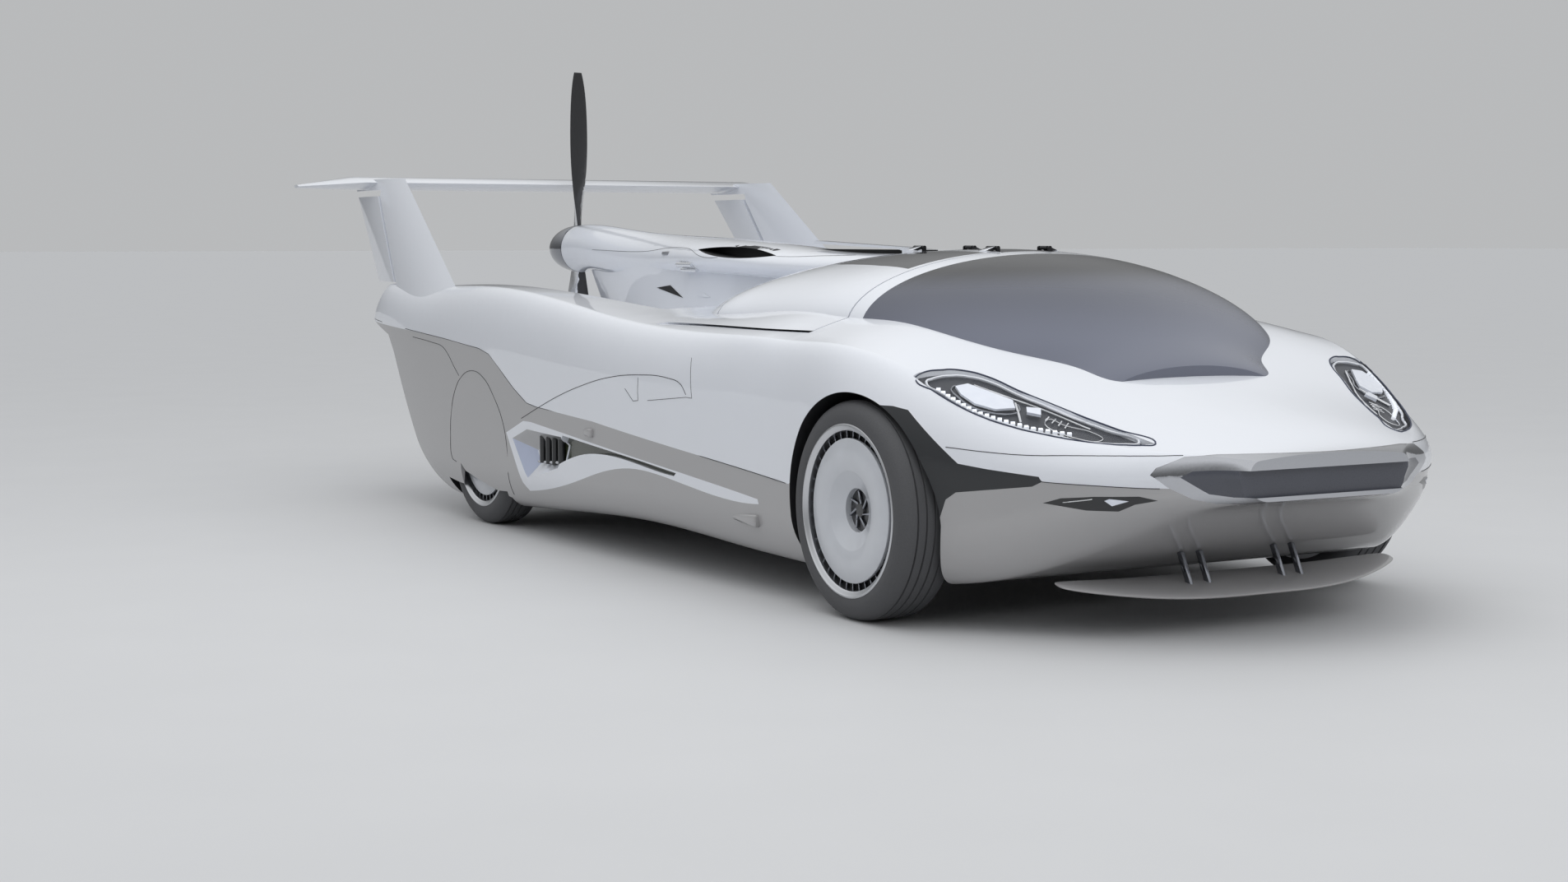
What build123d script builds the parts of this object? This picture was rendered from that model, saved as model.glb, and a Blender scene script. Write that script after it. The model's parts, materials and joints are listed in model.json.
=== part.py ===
from build123d import *
from collections import namedtuple
from math import cos, radians, sin
import os

os.makedirs("parts", exist_ok=True)

# Driving sizes in millimetres. X runs to the car's left, the nose is at -Y, Z is up from the ground.
WHEELBASE = 2847.0
FRONT_AXLE_Y = -1805.0
REAR_AXLE_Y = FRONT_AXLE_Y + WHEELBASE

TYRE_R = 339.0
FRONT_TYRE_WIDTH = 205.0
REAR_TYRE_WIDTH = 165.0
RIM_R = 268.0
FRONT_WHEEL_X = 900.0
REAR_WHEEL_X = 962.0
ARCH_R = 363.0
ARCH_INNER_X = 610.0
REAR_WELL_R = 362.0
REAR_WELL_INNER_X = 850.0
REAR_WELL_OUTER_X = 1056.0

SHELL = 32.0
DOOR_GAP = 7.0
MOVING_GAP = 8.0

ROOF_STRIP = 115.0
HOOP_FRONT_Y = -1440.0
HOOP_REAR_Y = -1368.0
DOOR_REAR_Y = -440.0
SILL_Z = 872.0
GLASS = 10.0

DECK_Z = 850.0
POD_INNER_X = 660.0
POD_TOP_INNER_X = 860.0
POD_EDGE_Z = 976.0
DECK_FRONT_Y = -60.0
TAIL_END_Y = 2293.0

PROP_Y = 2345.0
PROP_Z = 1120.0
PROP_R = 835.0
NACELLE_R = 112.0
NACELLE_END_Y = 2300.0
SPINNER_LENGTH = 290.0

TAIL_Z = 1425.0
TAIL_HALF_SPAN = 1235.0

NOSE_Y = 2849.0
# Cutters reach past the car to these limits.
REACH = 1300.0
AHEAD = -3000.0
BEHIND = 3300.0
UNDER = -50.0
SKY = 1600.0

HULL_COLUMNS = "y belt_x belt_z low_x low_z belly_x belly_z crest_x crest_z crown_z"
Hull = namedtuple("Hull", HULL_COLUMNS)
# Body sections from nose to tail: widest point, lower side corner, belly edge, shoulder crest, centre height.
HULL = [
    Hull(-NOSE_Y, 305, 500, 300, 474, 230, 427, 265, 546, 559),
    Hull(-2690, 525, 490, 505, 448, 355, 385, 455, 567, 603),
    Hull(-2520, 715, 485, 690, 412, 520, 282, 610, 592, 657),
    Hull(-2320, 842, 488, 812, 360, 690, 185, 735, 648, 716),
    Hull(-2090, 948, 512, 925, 312, 800, 136, 836, 740, 800),
    Hull(-1830, 1004, 556, 985, 292, 845, 120, 910, 822, 905),
    Hull(-1540, 1004, 590, 988, 298, 868, 116, 935, 846, 990),
    Hull(-1210, 1012, 608, 998, 300, 885, 122, 950, 849, 1022),
    Hull(-840, 1040, 622, 1024, 298, 905, 136, 962, 851, 1000),
    Hull(-430, 1068, 636, 1052, 292, 930, 150, 980, 864, 935),
    Hull(20, 1080, 650, 1070, 280, 950, 138, 988, 902, 925),
    Hull(510, 1082, 668, 1077, 268, 968, 110, 988, 950, 956),
    Hull(1050, 1082, 692, 1078, 260, 980, 84, 985, 974, 980),
    Hull(1650, 1074, 740, 1062, 300, 940, 110, 975, 966, 972),
    Hull(2320, 1040, 800, 1024, 420, 900, 200, 950, 936, 940),
]
HOLLOW_FRONT_Y = -2700.0
HOLLOW_REAR_Y = -110.0

Dome = namedtuple("Dome", "y half_width base_z rise")
# Cabin dome sections: half-width and rise of each half ellipse above its base height.
DOME = [
    Dome(-2235, 60, 690, 45),
    Dome(-2119, 428, 700, 150),
    Dome(-1989, 561, 740, 196),
    Dome(-1805, 671, 800, 228),
    Dome(-1600, 708, 850, 240),
    Dome(-1400, 730, 880, 243),
    Dome(-1000, 735, 884, 246),
    Dome(-600, 722, 880, 222),
    Dome(-300, 690, 862, 146),
    Dome(-20, 600, 790, 62),
]
DOME_SKIRT = 45.0

Oval = namedtuple("Oval", "y half_width z half_height")
# Spine that grows out of the roof and becomes the engine nacelle.
SPINE = [
    Oval(-1180, 60, 1085, 34),
    Oval(-600, 92, 1072, 44),
    Oval(-100, 160, 1060, 62),
    Oval(350, 226, 1076, 72),
    Oval(800, 208, 1086, 84),
    Oval(1350, 140, 1080, 106),
    Oval(1850, 120, 1104, 111),
    Oval(NACELLE_END_Y, NACELLE_R, PROP_Z, NACELLE_R),
]

Slice = namedtuple("Slice", "z front_y rear_y half_width")
# Pylon between deck and nacelle, sliced level.
PYLON = [
    Slice(DECK_Z, -420, 2060, 180),
    Slice(DECK_Z + 60, -420, 2110, 165),
    Slice(1070, -420, 2240, 150),
]

LINER = 18.0
ENGINE_X = 225.0
ENGINE_FRONT_Y = 60.0
ENGINE_REAR_Y = 620.0
ENGINE_Z = 340.0
ENGINE_TOP_Z = 780.0
# Outline of the cover over each rear wheel, side view (y, z).
SPAT = [
    (667, 60), (670, 240), (676, 357), (713, 446), (801, 540), (901, 607), (1034, 630), (1157, 594),
    (1227, 535), (1271, 450), (1287, 345), (1274, 256), (1250, 60)]
TRIM_INNER_X = 700.0
NOSE_JOINT_Y = -1990.0
NOSE_PANEL_RECESS = 26.0
NOSE_FACE_Y = -2640.0
LAMP_FLOOR_Z = 520.0
LOWER_LAMP_Y = -2440.0
JACK_PAD_R = 40.0
JACK_PADS = [(620, -1210, 112), (700, 400, 100)]
# Left halves of the lamp and nose outlines: plan (x, y) for the headlight, front view (x, z) for the rest.
HEADLIGHT_INNER = [
    (464, -2627), (543, -2401), (635, -2200), (682, -2096), (735, -2043), (793, -2018), (892, -2014)]
HEADLIGHT_OUTER = [(892, -2014), (875, -2098), (817, -2252), (722, -2407), (614, -2536), (464, -2627)]
NOSE_FRAME = [(345, 419), (416, 434), (483, 468), (530, 504), (514, 524), (437, 556), (350, 561)]
NOSE_PANEL = [(319, 440), (378, 449), (457, 497), (426, 515), (377, 518)]
LOWER_LAMP = [(736, 414), (707, 431), (645, 439), (548, 442), (501, 430), (554, 418), (586, 397), (656, 398)]
# Side recess in side view (y, z): the frame's two long edges, the slot, the funnel's mouth and its grille.
SIDE_TOP = [(435, 461), (-308, 405), (-1240, 320)]
SIDE_WAVE = [(-1246, 304), (-713, 335), (-420, 352), (-150, 312), (38, 264), (360, 202), (485, 187)]
SIDE_REAR = [(485, 187), (530, 215), (676, 403), (507, 460), (435, 461)]
SIDE_SLOT_TOP = [(140, 430), (-245, 403), (-490, 384), (-726, 362)]
SIDE_SLOT_LOW = [(-712, 350), (-538, 363), (-337, 382), (-199, 385), (-56, 375), (92, 344), (240, 296)]
FUNNEL_MOUTH = [(652, 392), (500, 441), (140, 427), (128, 356), (200, 292), (500, 216)]
GRILLE = [(428, 350), (330, 378), (195, 410), (136, 392), (170, 324), (400, 308)]
SIDE_TRIM_X = 1036.0
SIDE_TRIM_PLAN = [
    (978, -1500), (990, -1100), (1004, -840), (1028, -430), (SIDE_TRIM_X, -60), (SIDE_TRIM_X, 720),
    (1300, 720), (1300, -1500)]
SIDE_FLOOR = 8.0
FUNNEL_DEPTH = 50.0
SLAT_R = 13.0
SLAT_Y = 190.0
SLAT_PITCH = 58.0
SLATS = 4
DOOR_GLASS = [
    (ROOF_STRIP + 60, HOOP_REAR_Y + 30), (480, HOOP_REAR_Y + 30), (470, -1150), (420, -800), (340, -530),
    (300, -470), (180, -620)]
# Roof hinges of the two doors: axis place, barrels and posts.
HINGE_X = 108.0
HINGE_Z = 1137.0
HINGES_Y = (-1290.0, -830.0)
HINGE_R = 7.0
PIN_R = 4.0
PIN_FIT = 0.05
BARREL = 40.0
POST = 8.0
POST_GAP = 6.0
HINGE_LUG = [(108, 1144), (150, 1128), (150, 1105), (128, 1105), (128, 1126), (112, 1131)]
# Openings in the nacelle's flank and the pipes behind them.
INTAKE_FRONT = (110, 1102)
INTAKE_REAR = (735, 1124)
INTAKE_LOW = (430, 1092)
INTAKE_TOP = (430, 1134)
INTAKE_FLOOR_X = 120.0
PIPES = [(200.0, 1060.0), (177.0, 1038.0)]
PIPE_R = 10.0
PIPE_FRONT_Y = 770.0
PIPE_REAR_Y = 905.0
SCOOP = [(-740, 1090), (-740, 1128), (-607, 1137), (54, 1160), (54, 1090)]
SCOOP_MOUTH = [(-590, 1090), (-590, 1125), (-560, 1130), (60, 1149), (60, 1090)]
SCOOP_HALF = 30.0
SCOOP_WEB = 12.0
SCOOP_ROOF_Z = 1128.0
SHAFT_R = 34.0
SHAFT_FIT = 0.05
SHAFT_SEAT = 60.0
HUB_R = 62.0
HUB_LENGTH = 70.0
SPINNER_GAP = 5.0
SEAT = 0.3

Blade = namedtuple("Blade", "radius chord thick pitch")
BLADE = [
    Blade(50, 70, 44, 62),
    Blade(180, 96, 28, 48),
    Blade(330, 124, 20, 34),
    Blade(520, 122, 14, 24),
    Blade(700, 96, 10, 18),
    Blade(PROP_R, 46, 6, 15),
]
Foil = namedtuple("Foil", "x z front_y rear_y thick")
TAIL = [
    Foil(-TAIL_HALF_SPAN, 1412, 2780, NOSE_Y, 16),
    Foil(-1030, TAIL_Z, 2424, NOSE_Y, 60),
    Foil(1030, TAIL_Z, 2424, NOSE_Y, 60),
    Foil(TAIL_HALF_SPAN, 1412, 2780, NOSE_Y, 16),
]
FIN = [Foil(996, 900, 1330, 2310, 96), Foil(944, 1440, 2150, 2830, 60)]
HINGE_LOW = (990.0, 2080.0, 975.0)
HINGE_HIGH = (952.0, 2397.0, 1362.0)
RUDDER_NOSE_R = 12.0
RUDDER_CLEAR = 30.0
RUDDER_GAP_TOP = 1390.0
ELEVATOR_X = 790.0
ELEVATOR_HINGE_Y = 2725.0
ELEVATOR_NOSE_R = 20.0
ELEVATOR_GROOVE_R = 33.0
ELEVATOR_PIN_R = 6.0
ELEVATOR_PIN = 20.0
RUDDER_PIN_R = 5.0
RUDDER_PIN_LOW = 45.0
RUDDER_PIN_END = 1.0
RUDDER_FOOT_GAP = 18.0
RUDDER_PIN_HIGH = 55.0
FRONT_WING = [
    Foil(-649, 160, -2425, -2385, 8),
    Foil(-480, 142, -2500, -2370, 16),
    Foil(-250, 128, -2560, -2360, 22),
    Foil(0, 122, -2575, -2350, 24),
    Foil(250, 128, -2560, -2360, 22),
    Foil(480, 142, -2500, -2370, 16),
    Foil(649, 160, -2425, -2385, 8),
]
WING_LINK_X = (145.0, 216.0)
WING_LINK_Y = -2470.0
WING_LINK_Z = 128.0
FACE_INSET = 16.0
RIM_INSET = 4.0
SHOULDER = 34.0
LIP_R = 247.0
DISC_R = 223.0
CONE_R = 122.0
CONE_DEPTH = 26.0
HUB_R_OUT = 68.0
HUB_FLOOR = 46.0
HUB_WEB = 8.0
HUB_DEPTH = 92.0
RING_DEPTH = 10.0
DISC_THICK = 18.0
SLOT_WIDTH = 27.0
SLOTS = 40
SPINDLE_R = 22.0
SPINDLE_FIT = 0.05
KINGPIN_X = 845.0
KNUCKLE_THICK = 34.0
KNUCKLE_HALF = 120.0
ARM_THICK = 22.0
KINGPIN_R = 9.0
SEAT_X = 330.0
SEAT_WIDTH = 470.0
SEAT_SIDE = [
    (-1230, 120), (-1250, 330), (-1180, 372), (-800, 330), (-560, 830), (-470, 830), (-700, 260), (-740, 120)]
DASH_X = 560.0


def hull_solid(rows, inset=0.0):
    """Loft the closed body through the given sections, each drawn smaller by the inset."""
    with BuildPart() as hull:
        for row in rows:
            low = row.low_z + inset * 0.5
            with BuildSketch(Plane.XZ.offset(-row.y)):
                with BuildLine():
                    belly_x = row.belly_x - inset
                    belly_z = row.belly_z + inset
                    low_x = row.low_x - inset
                    belt_x = row.belt_x - inset
                    crest_x = row.crest_x - inset
                    crest_z = row.crest_z - inset
                    crown_z = row.crown_z - inset
                    Line((-belly_x, belly_z), (belly_x, belly_z))
                    low_size = (low_x - belly_x, low - belly_z)
                    top_size = (belt_x - crest_x, crest_z - row.belt_z)
                    EllipticalCenterArc((belly_x, low), *low_size, start_angle=270, arc_size=90)
                    EllipticalCenterArc((-belly_x, low), *low_size, start_angle=180, arc_size=90)
                    Line((low_x, low), (belt_x, row.belt_z))
                    Line((-low_x, low), (-belt_x, row.belt_z))
                    EllipticalCenterArc((crest_x, row.belt_z), *top_size, start_angle=0, arc_size=90)
                    EllipticalCenterArc((-crest_x, row.belt_z), *top_size, start_angle=90, arc_size=90)
                    ThreePointArc((crest_x, crest_z), (0, crown_z), (-crest_x, crest_z))
                make_face()
        loft()
    return hull.part


def dome_solid(inset=0.0):
    """Loft the cabin dome, with a straight skirt that reaches down into the body."""
    with BuildPart() as dome:
        for row in DOME:
            half = max(row.half_width - inset, 20.0)
            rise = max(row.rise - inset, 12.0)
            foot = row.base_z - DOME_SKIRT - 2 * inset
            with BuildSketch(Plane.XZ.offset(-row.y)):
                with BuildLine():
                    EllipticalCenterArc((0, row.base_z), half, rise, start_angle=0, arc_size=180)
                    Line((-half, row.base_z), (-half, foot))
                    Line((-half, foot), (half, foot))
                    Line((half, foot), (half, row.base_z))
                make_face()
        loft()
    return dome.part


def side_prism(points):
    """Prism across the whole car from an outline given as (y, z) corners."""
    with BuildPart() as prism:
        with BuildSketch(Plane.YZ):
            with BuildLine():
                Polyline(*points, close=True)
            make_face()
        extrude(amount=REACH, both=True)
    return prism.part


def block(x0, x1, y0, y1, z0, z1):
    """Plain block between two corners, used as a cutter."""
    with BuildPart() as cutter:
        with BuildSketch(Plane.XY.offset(z0)):
            with Locations(((x0 + x1) / 2, (y0 + y1) / 2)):
                Rectangle(abs(x1 - x0), abs(y1 - y0))
        extrude(amount=z1 - z0)
    return cutter.part


def slab(y0, y1, z0=UNDER, z1=SKY):
    """Block across the whole car between two stations."""
    return block(-REACH, REACH, y0, y1, z0, z1)


def disc(x0, x1, y, z, radius):
    """Round bar along X between two stations."""
    with BuildPart() as bar:
        with BuildSketch(Plane.YZ.offset(min(x0, x1))):
            with Locations((y, z)):
                Circle(radius)
        extrude(amount=abs(x1 - x0))
    return bar.part


def write(part, name):
    """Label one finished piece and write it to its own file."""
    part.label = name
    export_step(part, f"parts/{name}.step")
    print(f"{name}: {len(part.solids())} solids, {part.volume / 1e6:.2f} litres")


def hinge_line(side):
    """Lower end, upper end and direction of a rudder's hinge."""
    low = Vector(side * HINGE_LOW[0], HINGE_LOW[1], HINGE_LOW[2])
    high = Vector(side * HINGE_HIGH[0], HINGE_HIGH[1], HINGE_HIGH[2])
    return low, high, (high - low).normalized()


def rudder_pin(side, radius, spare=0.0):
    """Round bar along a rudder's hinge, from the foot of its lower pin to the top of its upper one."""
    low, high, line = hinge_line(side)
    with BuildPart() as pin:
        with BuildSketch(Plane(origin=low - line * (RUDDER_PIN_LOW + spare), z_dir=line)):
            Circle(radius)
        extrude(amount=(high - low).length + RUDDER_PIN_LOW + RUDDER_PIN_HIGH + 2 * spare)
    return pin.part


SIDES = {"left": 1, "right": -1}
both_sides = SIDES.values()
rudder_bores = [rudder_pin(side, RUDDER_PIN_R + PIN_FIT, RUDDER_PIN_END) for side in both_sides]

# Tools shared by the body panels.
outer_hull = hull_solid(HULL)
inner_hull = hull_solid(HULL, SHELL) & slab(HOLLOW_FRONT_Y, HOLLOW_REAR_Y)
outer_dome = dome_solid()
inner_dome = dome_solid(SHELL) & slab(DOME[0].y, HOLLOW_REAR_Y)
glass_dome = dome_solid(GLASS) & slab(DOME[0].y + GLASS, HOOP_REAR_Y)

# Split line between the white upper body and the grey lower body, seen from the side.
SPLIT = [
    (AHEAD, 562), (-2723, 556), (-2428, 546), (-2200, 556), (FRONT_AXLE_Y, 545), (-1436, 388), (-120, 501),
    (376, 523), (470, 533), (597, 584), (726, 649), (844, 706), (950, 725), (1345, 750), (BEHIND, 840)]
above_split = side_prism(SPLIT + [(BEHIND, SKY), (AHEAD, SKY)])
below_split = side_prism(SPLIT + [(BEHIND, UNDER), (AHEAD, UNDER)])

# Tail end of the body: a sharp wedge over an undercut.
with BuildPart() as tail_cut:
    with BuildSketch(Plane.YZ):
        with BuildLine():
            Polyline((1300, 40), (BEHIND, 40), (BEHIND, SKY), (2106, SKY), (2156, 940), (TAIL_END_Y, 800),
                     (2060, 742))
            Line((2060, 742), (2000, 660))
            ThreePointArc((2000, 660), (1790, 350), (1300, 40))
        make_face()
    extrude(amount=REACH, both=True)

# Channel between the tail pods, down to the deck.
with BuildPart() as deck_cut:
    with BuildSketch(Plane.XZ.offset(-DECK_FRONT_Y)):
        with BuildLine():
            Polyline(
                (-POD_INNER_X, DECK_Z), (POD_INNER_X, DECK_Z), (POD_TOP_INNER_X, POD_EDGE_Z),
                (POD_TOP_INNER_X, SKY), (-POD_TOP_INNER_X, SKY), (-POD_TOP_INNER_X, POD_EDGE_Z), close=True)
        make_face()
    extrude(amount=-(TAIL_END_Y + 60 - DECK_FRONT_Y))

with BuildPart() as spine_loft:
    for row in SPINE:
        with BuildSketch(Plane.XZ.offset(-row.y)):
            with Locations((0, row.z)):
                Ellipse(row.half_width, row.half_height)
    loft()

with BuildPart() as pylon_loft:
    for row in PYLON:
        middle = (row.front_y + row.rear_y) / 2
        with BuildSketch(Plane.XY.offset(row.z)):
            with BuildLine():
                ThreePointArc((0, row.front_y), (row.half_width, middle), (0, row.rear_y))
                ThreePointArc((0, row.front_y), (-row.half_width, middle), (0, row.rear_y))
            make_face()
    loft()

# Body skin: hull and rear dome, hollow for the cabin, with wheel wells, deck channel and engine bay.
wells = [disc(side * ARCH_INNER_X, side * REACH, FRONT_AXLE_Y, TYRE_R, ARCH_R) for side in both_sides]
rear_wells = [
    disc(side * REAR_WELL_INNER_X, side * REAR_WELL_OUTER_X, REAR_AXLE_Y, TYRE_R, REAR_WELL_R)
    for side in both_sides]
engine_bay = block(
    -ENGINE_X - 60, ENGINE_X + 60, ENGINE_FRONT_Y - 60, ENGINE_REAR_Y + 60, ENGINE_Z, DECK_Z - SHELL)

liners = [
    disc(side * (ARCH_INNER_X - LINER), side * REACH, FRONT_AXLE_Y, TYRE_R, ARCH_R + LINER)
    for side in both_sides]
with BuildPart() as cabin_void:
    add(inner_hull)
    add(inner_dome)
    add(liners, mode=Mode.SUBTRACT)

with BuildPart() as body_shell:
    add(outer_hull)
    add(outer_dome & slab(HOOP_REAR_Y, DECK_FRONT_Y + 100))
    add([cabin_void.part, *wells, *rear_wells, tail_cut.part, deck_cut.part, engine_bay], mode=Mode.SUBTRACT)

# Cover over each rear wheel, with the cut-out where the tyre shows.
with BuildPart() as spat_zone:
    for side in both_sides:
        with BuildSketch(Plane.YZ.offset(side * REAR_WELL_OUTER_X)):
            with BuildLine():
                Line(SPAT[-1], SPAT[0])
                Line(SPAT[0], SPAT[1])
                Spline(*SPAT[1:-1])
                Line(SPAT[-2], SPAT[-1])
            make_face()
        extrude(amount=side * (REACH - REAR_WELL_OUTER_X))

# Black trim ahead of each front arch, lamps and nose pieces are cut out of the skin they fill.
with BuildPart() as trim_zone:
    with BuildSketch(Plane.YZ):
        with BuildLine():
            Polyline((FRONT_AXLE_Y, 672), (-2000, 672), (-2055, 663), (-2241, 516), (-2325, 505),
                     (-2465, 491), (-2472, 477), (-2443, 461), (-2226, 430), (-2192, 406), (-2165, 345),
                     (FRONT_AXLE_Y, 345), close=True)
        make_face()
    extrude(amount=REACH, both=True)
    add(block(-TRIM_INNER_X, TRIM_INNER_X, AHEAD, 0, 0, SKY), mode=Mode.SUBTRACT)

with BuildPart() as lamp_zone:
    with BuildSketch(Plane.XY.offset(LAMP_FLOOR_Z)):
        with BuildLine():
            Spline(*HEADLIGHT_INNER)
            Spline(*HEADLIGHT_OUTER)
        make_face()
        mirror(about=Plane.YZ)
    extrude(amount=SKY - LAMP_FLOOR_Z)
    add(liners, mode=Mode.SUBTRACT)

with BuildPart() as frame_zone:
    with BuildSketch(Plane.XZ.offset(-NOSE_FACE_Y)):
        with BuildLine():
            Polyline(*NOSE_FRAME, *[(-x, z) for x, z in reversed(NOSE_FRAME)], close=True)
        make_face()
    extrude(amount=NOSE_FACE_Y - AHEAD)

with BuildPart() as panel_zone:
    with BuildSketch(Plane.XZ.offset(-NOSE_FACE_Y)):
        with BuildLine():
            Polyline(*NOSE_PANEL, *[(-x, z) for x, z in reversed(NOSE_PANEL)], close=True)
        make_face()
    extrude(amount=NOSE_FACE_Y - AHEAD)

with BuildPart() as lower_lamp_zone:
    with BuildSketch(Plane.XZ.offset(-LOWER_LAMP_Y)):
        with BuildLine():
            Polyline(*LOWER_LAMP, close=True)
        make_face()
        mirror(about=Plane.YZ)
    extrude(amount=LOWER_LAMP_Y - AHEAD)

door_holes = [
    block(side * ROOF_STRIP, side * REACH, HOOP_REAR_Y, DOOR_REAR_Y + DOOR_GAP, SILL_Z - DOOR_GAP, SKY)
    for side in both_sides]

# Hinge posts on the roof strip, with the pins the door barrels turn on.
with BuildPart() as hinge_posts:
    for y in HINGES_Y:
        reach = BARREL / 2 + POST_GAP
        for start in (y - reach - POST, y + reach):
            with BuildSketch(Plane.XZ.offset(-start)):
                with Locations((HINGE_X, HINGE_Z - HINGE_R * 2)):
                    Rectangle(2 * HINGE_R, 4 * HINGE_R)
                with Locations((HINGE_X, HINGE_Z)):
                    Circle(HINGE_R)
            extrude(amount=-POST)
        with BuildSketch(Plane.XZ.offset(-(y - reach))):
            with Locations((HINGE_X, HINGE_Z)):
                Circle(PIN_R)
        extrude(amount=-2 * reach)
    mirror(about=Plane.YZ)
with BuildPart() as upper_body:
    add(body_shell.part & above_split)
    add([trim_zone.part, lamp_zone.part, frame_zone.part, spat_zone.part, *door_holes, *rudder_bores],
        mode=Mode.SUBTRACT)
    add(hinge_posts.part)
write(upper_body.part, "upper_body")

# Grey lower body with the cabin floor, wheel wells and the side recesses.
notch = side_prism([(690, -20), (712, 137), (1125, 210), (1175, 240), (1210, -20)])
notch_zone = notch - block(-REAR_WELL_INNER_X, REAR_WELL_INNER_X, 0, BEHIND, UNDER, 400)


def plan_prism(shift):
    """Solid on both flanks outboard of the recess floor, moved out by the shift."""
    with BuildPart() as prism:
        with BuildSketch():
            with BuildLine():
                Polyline(*[(x + shift, y) for x, y in SIDE_TRIM_PLAN], close=True)
            make_face()
            mirror(about=Plane.YZ)
        extrude(amount=SKY)
    return prism.part


with BuildPart() as trim_outline:
    with BuildSketch(Plane.YZ):
        with BuildLine():
            ThreePointArc(*SIDE_TOP)
            Line(SIDE_TOP[-1], SIDE_WAVE[0])
            Spline(*SIDE_WAVE)
            Polyline(*SIDE_REAR)
        make_face()
    extrude(amount=REACH, both=True)
    add(plan_prism(0), mode=Mode.INTERSECT)

with BuildPart() as jack_pads:
    for x, y, z in JACK_PADS:
        with BuildSketch(Plane.XY.offset(z)):
            with Locations(*[(side * x, y) for side in both_sides]):
                Circle(JACK_PAD_R)
        extrude(amount=SHELL)

with BuildPart() as lower_body:
    add(body_shell.part & below_split & slab(NOSE_JOINT_Y, BEHIND))
    add([notch_zone, trim_outline.part, spat_zone.part], mode=Mode.SUBTRACT)
    add(jack_pads.part)
write(lower_body.part, "lower_body")

with BuildPart() as wheel_spats:
    add(outer_hull & spat_zone.part)
    add(notch_zone, mode=Mode.SUBTRACT)
write(wheel_spats.part, "wheel_spats")

with BuildPart() as front_bumper:
    add(body_shell.part & below_split & slab(AHEAD, NOSE_JOINT_Y))
    add([trim_zone.part, frame_zone.part, lower_lamp_zone.part], mode=Mode.SUBTRACT)
write(front_bumper.part, "front_bumper")

with BuildPart() as arch_trims:
    add(outer_hull & trim_zone.part)
    add([cabin_void.part, *wells], mode=Mode.SUBTRACT)
write(arch_trims.part, "arch_trims")

with BuildPart() as nose_frame:
    add(outer_hull & frame_zone.part)
    add(panel_zone.part, mode=Mode.SUBTRACT)
write(nose_frame.part, "nose_frame")

with BuildPart() as nose_panel:
    add(outer_hull & panel_zone.part)
    add(slab(AHEAD, HULL[0].y + NOSE_PANEL_RECESS), mode=Mode.SUBTRACT)
write(nose_panel.part, "nose_panel")

with BuildPart() as headlights:
    add(body_shell.part & above_split & lamp_zone.part)
    add(trim_zone.part, mode=Mode.SUBTRACT)
write(headlights.part, "headlights")

with BuildPart() as lower_lamps:
    add(body_shell.part & lower_lamp_zone.part)
write(lower_lamps.part, "lower_lamps")

# Cabin glazing and doors.
with BuildPart() as windshield:
    add(outer_dome & slab(DOME[0].y, HOOP_FRONT_Y))
    add([glass_dome, outer_hull], mode=Mode.SUBTRACT)
write(windshield.part, "windshield")

with BuildPart() as windshield_hoop:
    add(outer_dome & slab(HOOP_FRONT_Y, HOOP_REAR_Y))
    add([inner_dome, outer_hull], mode=Mode.SUBTRACT)
write(windshield_hoop.part, "windshield_hoop")

with BuildPart() as glass_outline:
    with BuildSketch(Plane.XY.offset(SILL_Z)):
        with BuildLine():
            Polyline(*DOOR_GLASS, close=True)
        make_face()
    extrude(amount=SKY - SILL_Z)
with BuildPart() as door_panel:
    add(body_shell.part & block(
        ROOF_STRIP + DOOR_GAP, REACH, HOOP_REAR_Y + DOOR_GAP, DOOR_REAR_Y, SILL_Z, SKY))
with BuildPart() as door_hinges:
    for y in HINGES_Y:
        with BuildSketch(Plane.XZ.offset(-(y - BARREL / 2))):
            with BuildLine():
                Polyline(*HINGE_LUG, close=True)
            make_face()
            with Locations((HINGE_X, HINGE_Z)):
                Circle(HINGE_R)
                Circle(PIN_R + PIN_FIT, mode=Mode.SUBTRACT)
        extrude(amount=-BARREL)
door_frame = door_panel.part - glass_outline.part + door_hinges.part
door_pane = door_panel.part & glass_outline.part
write(door_frame, "door_left")
write(door_frame.mirror(Plane.YZ), "door_right")
write(door_pane, "door_glass_left")
write(door_pane.mirror(Plane.YZ), "door_glass_right")

# Spine, nacelle and pylon in one moulding that lands on roof and deck.
with BuildPart() as intakes:
    with BuildSketch(Plane.YZ):
        with BuildLine():
            ThreePointArc(INTAKE_FRONT, INTAKE_LOW, INTAKE_REAR)
            ThreePointArc(INTAKE_FRONT, INTAKE_TOP, INTAKE_REAR)
        make_face()
    extrude(amount=REACH, both=True)
    add(block(-INTAKE_FLOOR_X, INTAKE_FLOOR_X, AHEAD, BEHIND, UNDER, SKY), mode=Mode.SUBTRACT)

with BuildPart() as nacelle:
    add(spine_loft.part)
    add(pylon_loft.part)
    with BuildSketch(Plane.XZ.offset(-PIPE_FRONT_Y)):
        with Locations(*[(side * x, z) for side in both_sides for x, z in PIPES]):
            Circle(PIPE_R)
    extrude(amount=PIPE_FRONT_Y - PIPE_REAR_Y)
    add([intakes.part, outer_dome, outer_hull & slab(AHEAD, DECK_FRONT_Y)], mode=Mode.SUBTRACT)
    with BuildSketch(Plane.XZ.offset(-NACELLE_END_Y)):
        with Locations((0, PROP_Z)):
            Circle(SHAFT_R + SHAFT_FIT)
    extrude(amount=SHAFT_SEAT, mode=Mode.SUBTRACT)
write(nacelle.part, "nacelle")

write(block(-ENGINE_X, ENGINE_X, ENGINE_FRONT_Y, ENGINE_REAR_Y, ENGINE_Z, ENGINE_TOP_Z), "engine_block")

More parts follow.
